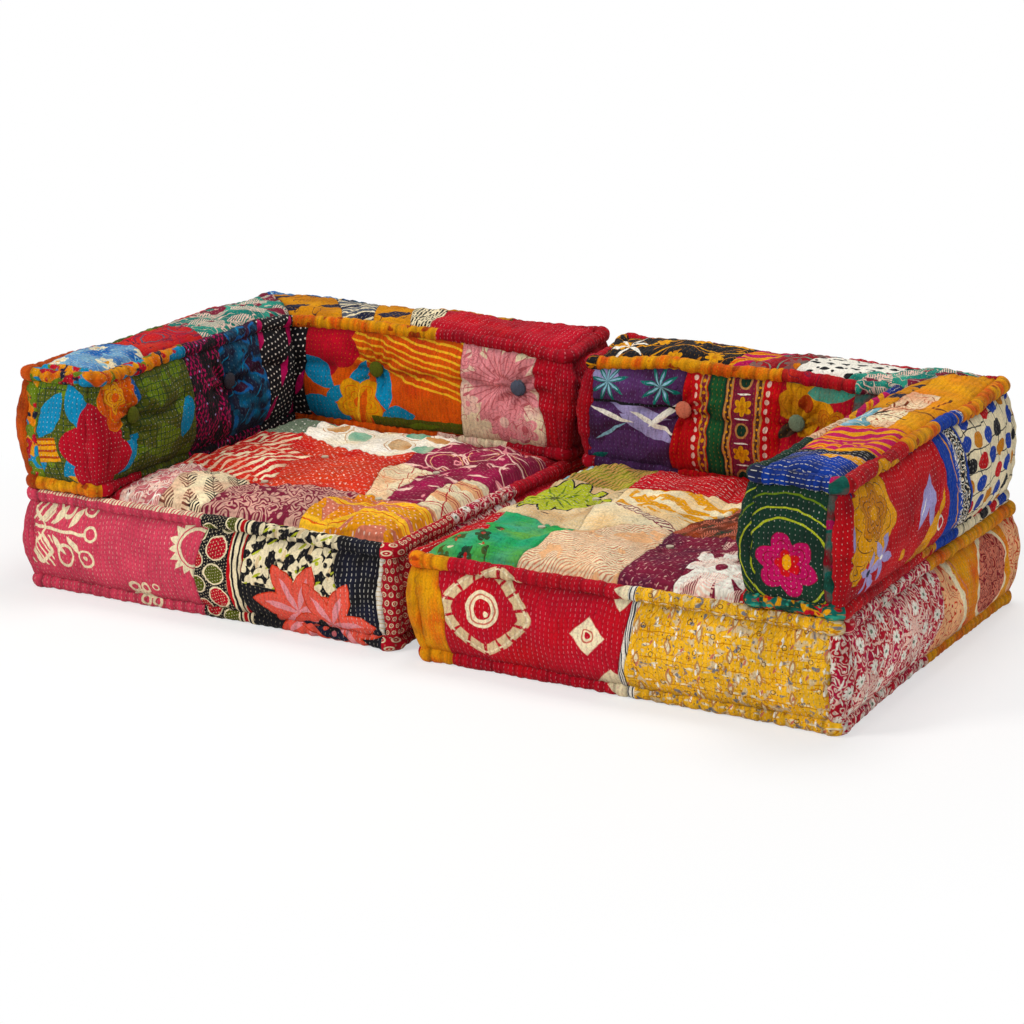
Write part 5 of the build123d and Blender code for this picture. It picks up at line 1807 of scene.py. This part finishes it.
azimuth, elevation = math.radians(VIEW_AZIMUTH), math.radians(VIEW_ELEVATION)
level = math.cos(elevation)
away = Vector((math.sin(azimuth) * level, -math.cos(azimuth) * level, math.sin(elevation)))
camera = bpy.data.objects.new("camera", bpy.data.cameras.new("camera"))
camera.data.lens = VIEW_LENS
camera.data.sensor_width = SENSOR_WIDTH
camera.data.shift_x = VIEW_SHIFT
camera.matrix_world = aim(Vector(VIEW_TARGET) + away * VIEW_DISTANCE, VIEW_TARGET, VIEW_ROLL)
bpy.context.scene.collection.objects.link(camera)
bpy.context.scene.camera = camera

# The studio: a pale floor, three soft lights and a white surround that the camera sees
FLOOR_SIZE = 60.0
FLOOR_NEAR = 1.0
FLOOR_FAR = 1.6
FLOOR_GLOW = 0.56
FLOOR_COLOUR = (0.94, 0.94, 0.94, 1.0)
FLOOR_ROUGHNESS = 0.9
SURROUND_COLOUR = (0.95, 0.97, 1.0, 1.0)
SURROUND_STRENGTH = 0.34
WHITE = (1.0, 1.0, 1.0, 1.0)
LAMPS_AIM = (0.0, 0.0, 0.15)
LIGHTS = {
    "key": ((-2.2, -3.6, 3.4), 1.4, 128.0, (1.0, 0.96, 0.90)),
    "fill": ((3.8, -2.4, 2.0), 2.4, 32.0, (1.0, 0.98, 0.96)),
    "top": ((0.4, 0.9, 4.2), 1.8, 84.0, (1.0, 0.98, 0.95)),
}
for name, (place, size, power, colour) in LIGHTS.items():
    lamp = bpy.data.objects.new(name, bpy.data.lights.new(name, "AREA"))
    lamp.data.size = size
    lamp.data.energy = power
    lamp.data.color = colour
    lamp.matrix_world = aim(Vector(place), LAMPS_AIM)
    bpy.context.scene.collection.objects.link(lamp)


def seen_white(tree, plain, white, share=None):
    """Mixes in a white glow where the camera sees a surface directly, in a shiny surface or through
    a clear one, by a share of it if given."""
    path = tree.nodes.new("ShaderNodeLightPath")
    rays = ("Is Camera Ray", "Is Glossy Ray", "Is Transmission Ray")
    seen = [Field(tree, path.outputs[ray]) for ray in rays]
    amount = seen[0].do("MAXIMUM", seen[1]).do("MAXIMUM", seen[2])
    if share is not None:
        amount = amount * share
    mix = tree.nodes.new("ShaderNodeMixShader")
    put(tree, mix.inputs[0], amount)
    tree.links.new(plain, mix.inputs[1])
    tree.links.new(white, mix.inputs[2])
    return mix.outputs[0]


world = bpy.data.worlds.new("studio")
bpy.context.scene.world = world
world.use_nodes = True
tree = world.node_tree
tree.nodes.clear()
dim, bright = tree.nodes.new("ShaderNodeBackground"), tree.nodes.new("ShaderNodeBackground")
dim.inputs["Color"].default_value = SURROUND_COLOUR
dim.inputs["Strength"].default_value = SURROUND_STRENGTH
bright.inputs["Color"].default_value = WHITE
surface = tree.nodes.new("ShaderNodeOutputWorld")
tree.links.new(seen_white(tree, dim.outputs[0], bright.outputs[0]), surface.inputs[0])

floor_mesh = bpy.data.meshes.new("floor")
half = FLOOR_SIZE / 2
corners = [(-half, -half, 0), (half, -half, 0), (half, half, 0), (-half, half, 0)]
floor_mesh.from_pydata(corners, [], [(0, 1, 2, 3)])
floor = bpy.data.objects.new("floor", floor_mesh)
floor_material = bpy.data.materials.new("studio floor")
floor_material.use_nodes = True
tree = floor_material.node_tree
plain = tree.nodes["Principled BSDF"]
plain.inputs["Base Color"].default_value = FLOOR_COLOUR
plain.inputs["Roughness"].default_value = FLOOR_ROUGHNESS
glow = tree.nodes.new("ShaderNodeEmission")
place = tree.nodes.new("ShaderNodeTexCoord")
split = tree.nodes.new("ShaderNodeSeparateXYZ")
tree.links.new(place.outputs["Object"], split.inputs[0])
across, deep = Field(tree, split.outputs[0]), Field(tree, split.outputs[1])
share = (across * across + deep * deep).do("SQRT") - FLOOR_NEAR
share = share.do("DIVIDE", FLOOR_FAR - FLOOR_NEAR, clamp=True)
share = share * (1 - FLOOR_GLOW) + FLOOR_GLOW
shown = seen_white(tree, plain.outputs[0], glow.outputs[0], share)
tree.links.new(shown, tree.nodes["Material Output"].inputs[0])
floor_mesh.materials.append(floor_material)
bpy.context.scene.collection.objects.link(floor)
bpy.context.scene.view_settings.view_transform = "Standard"
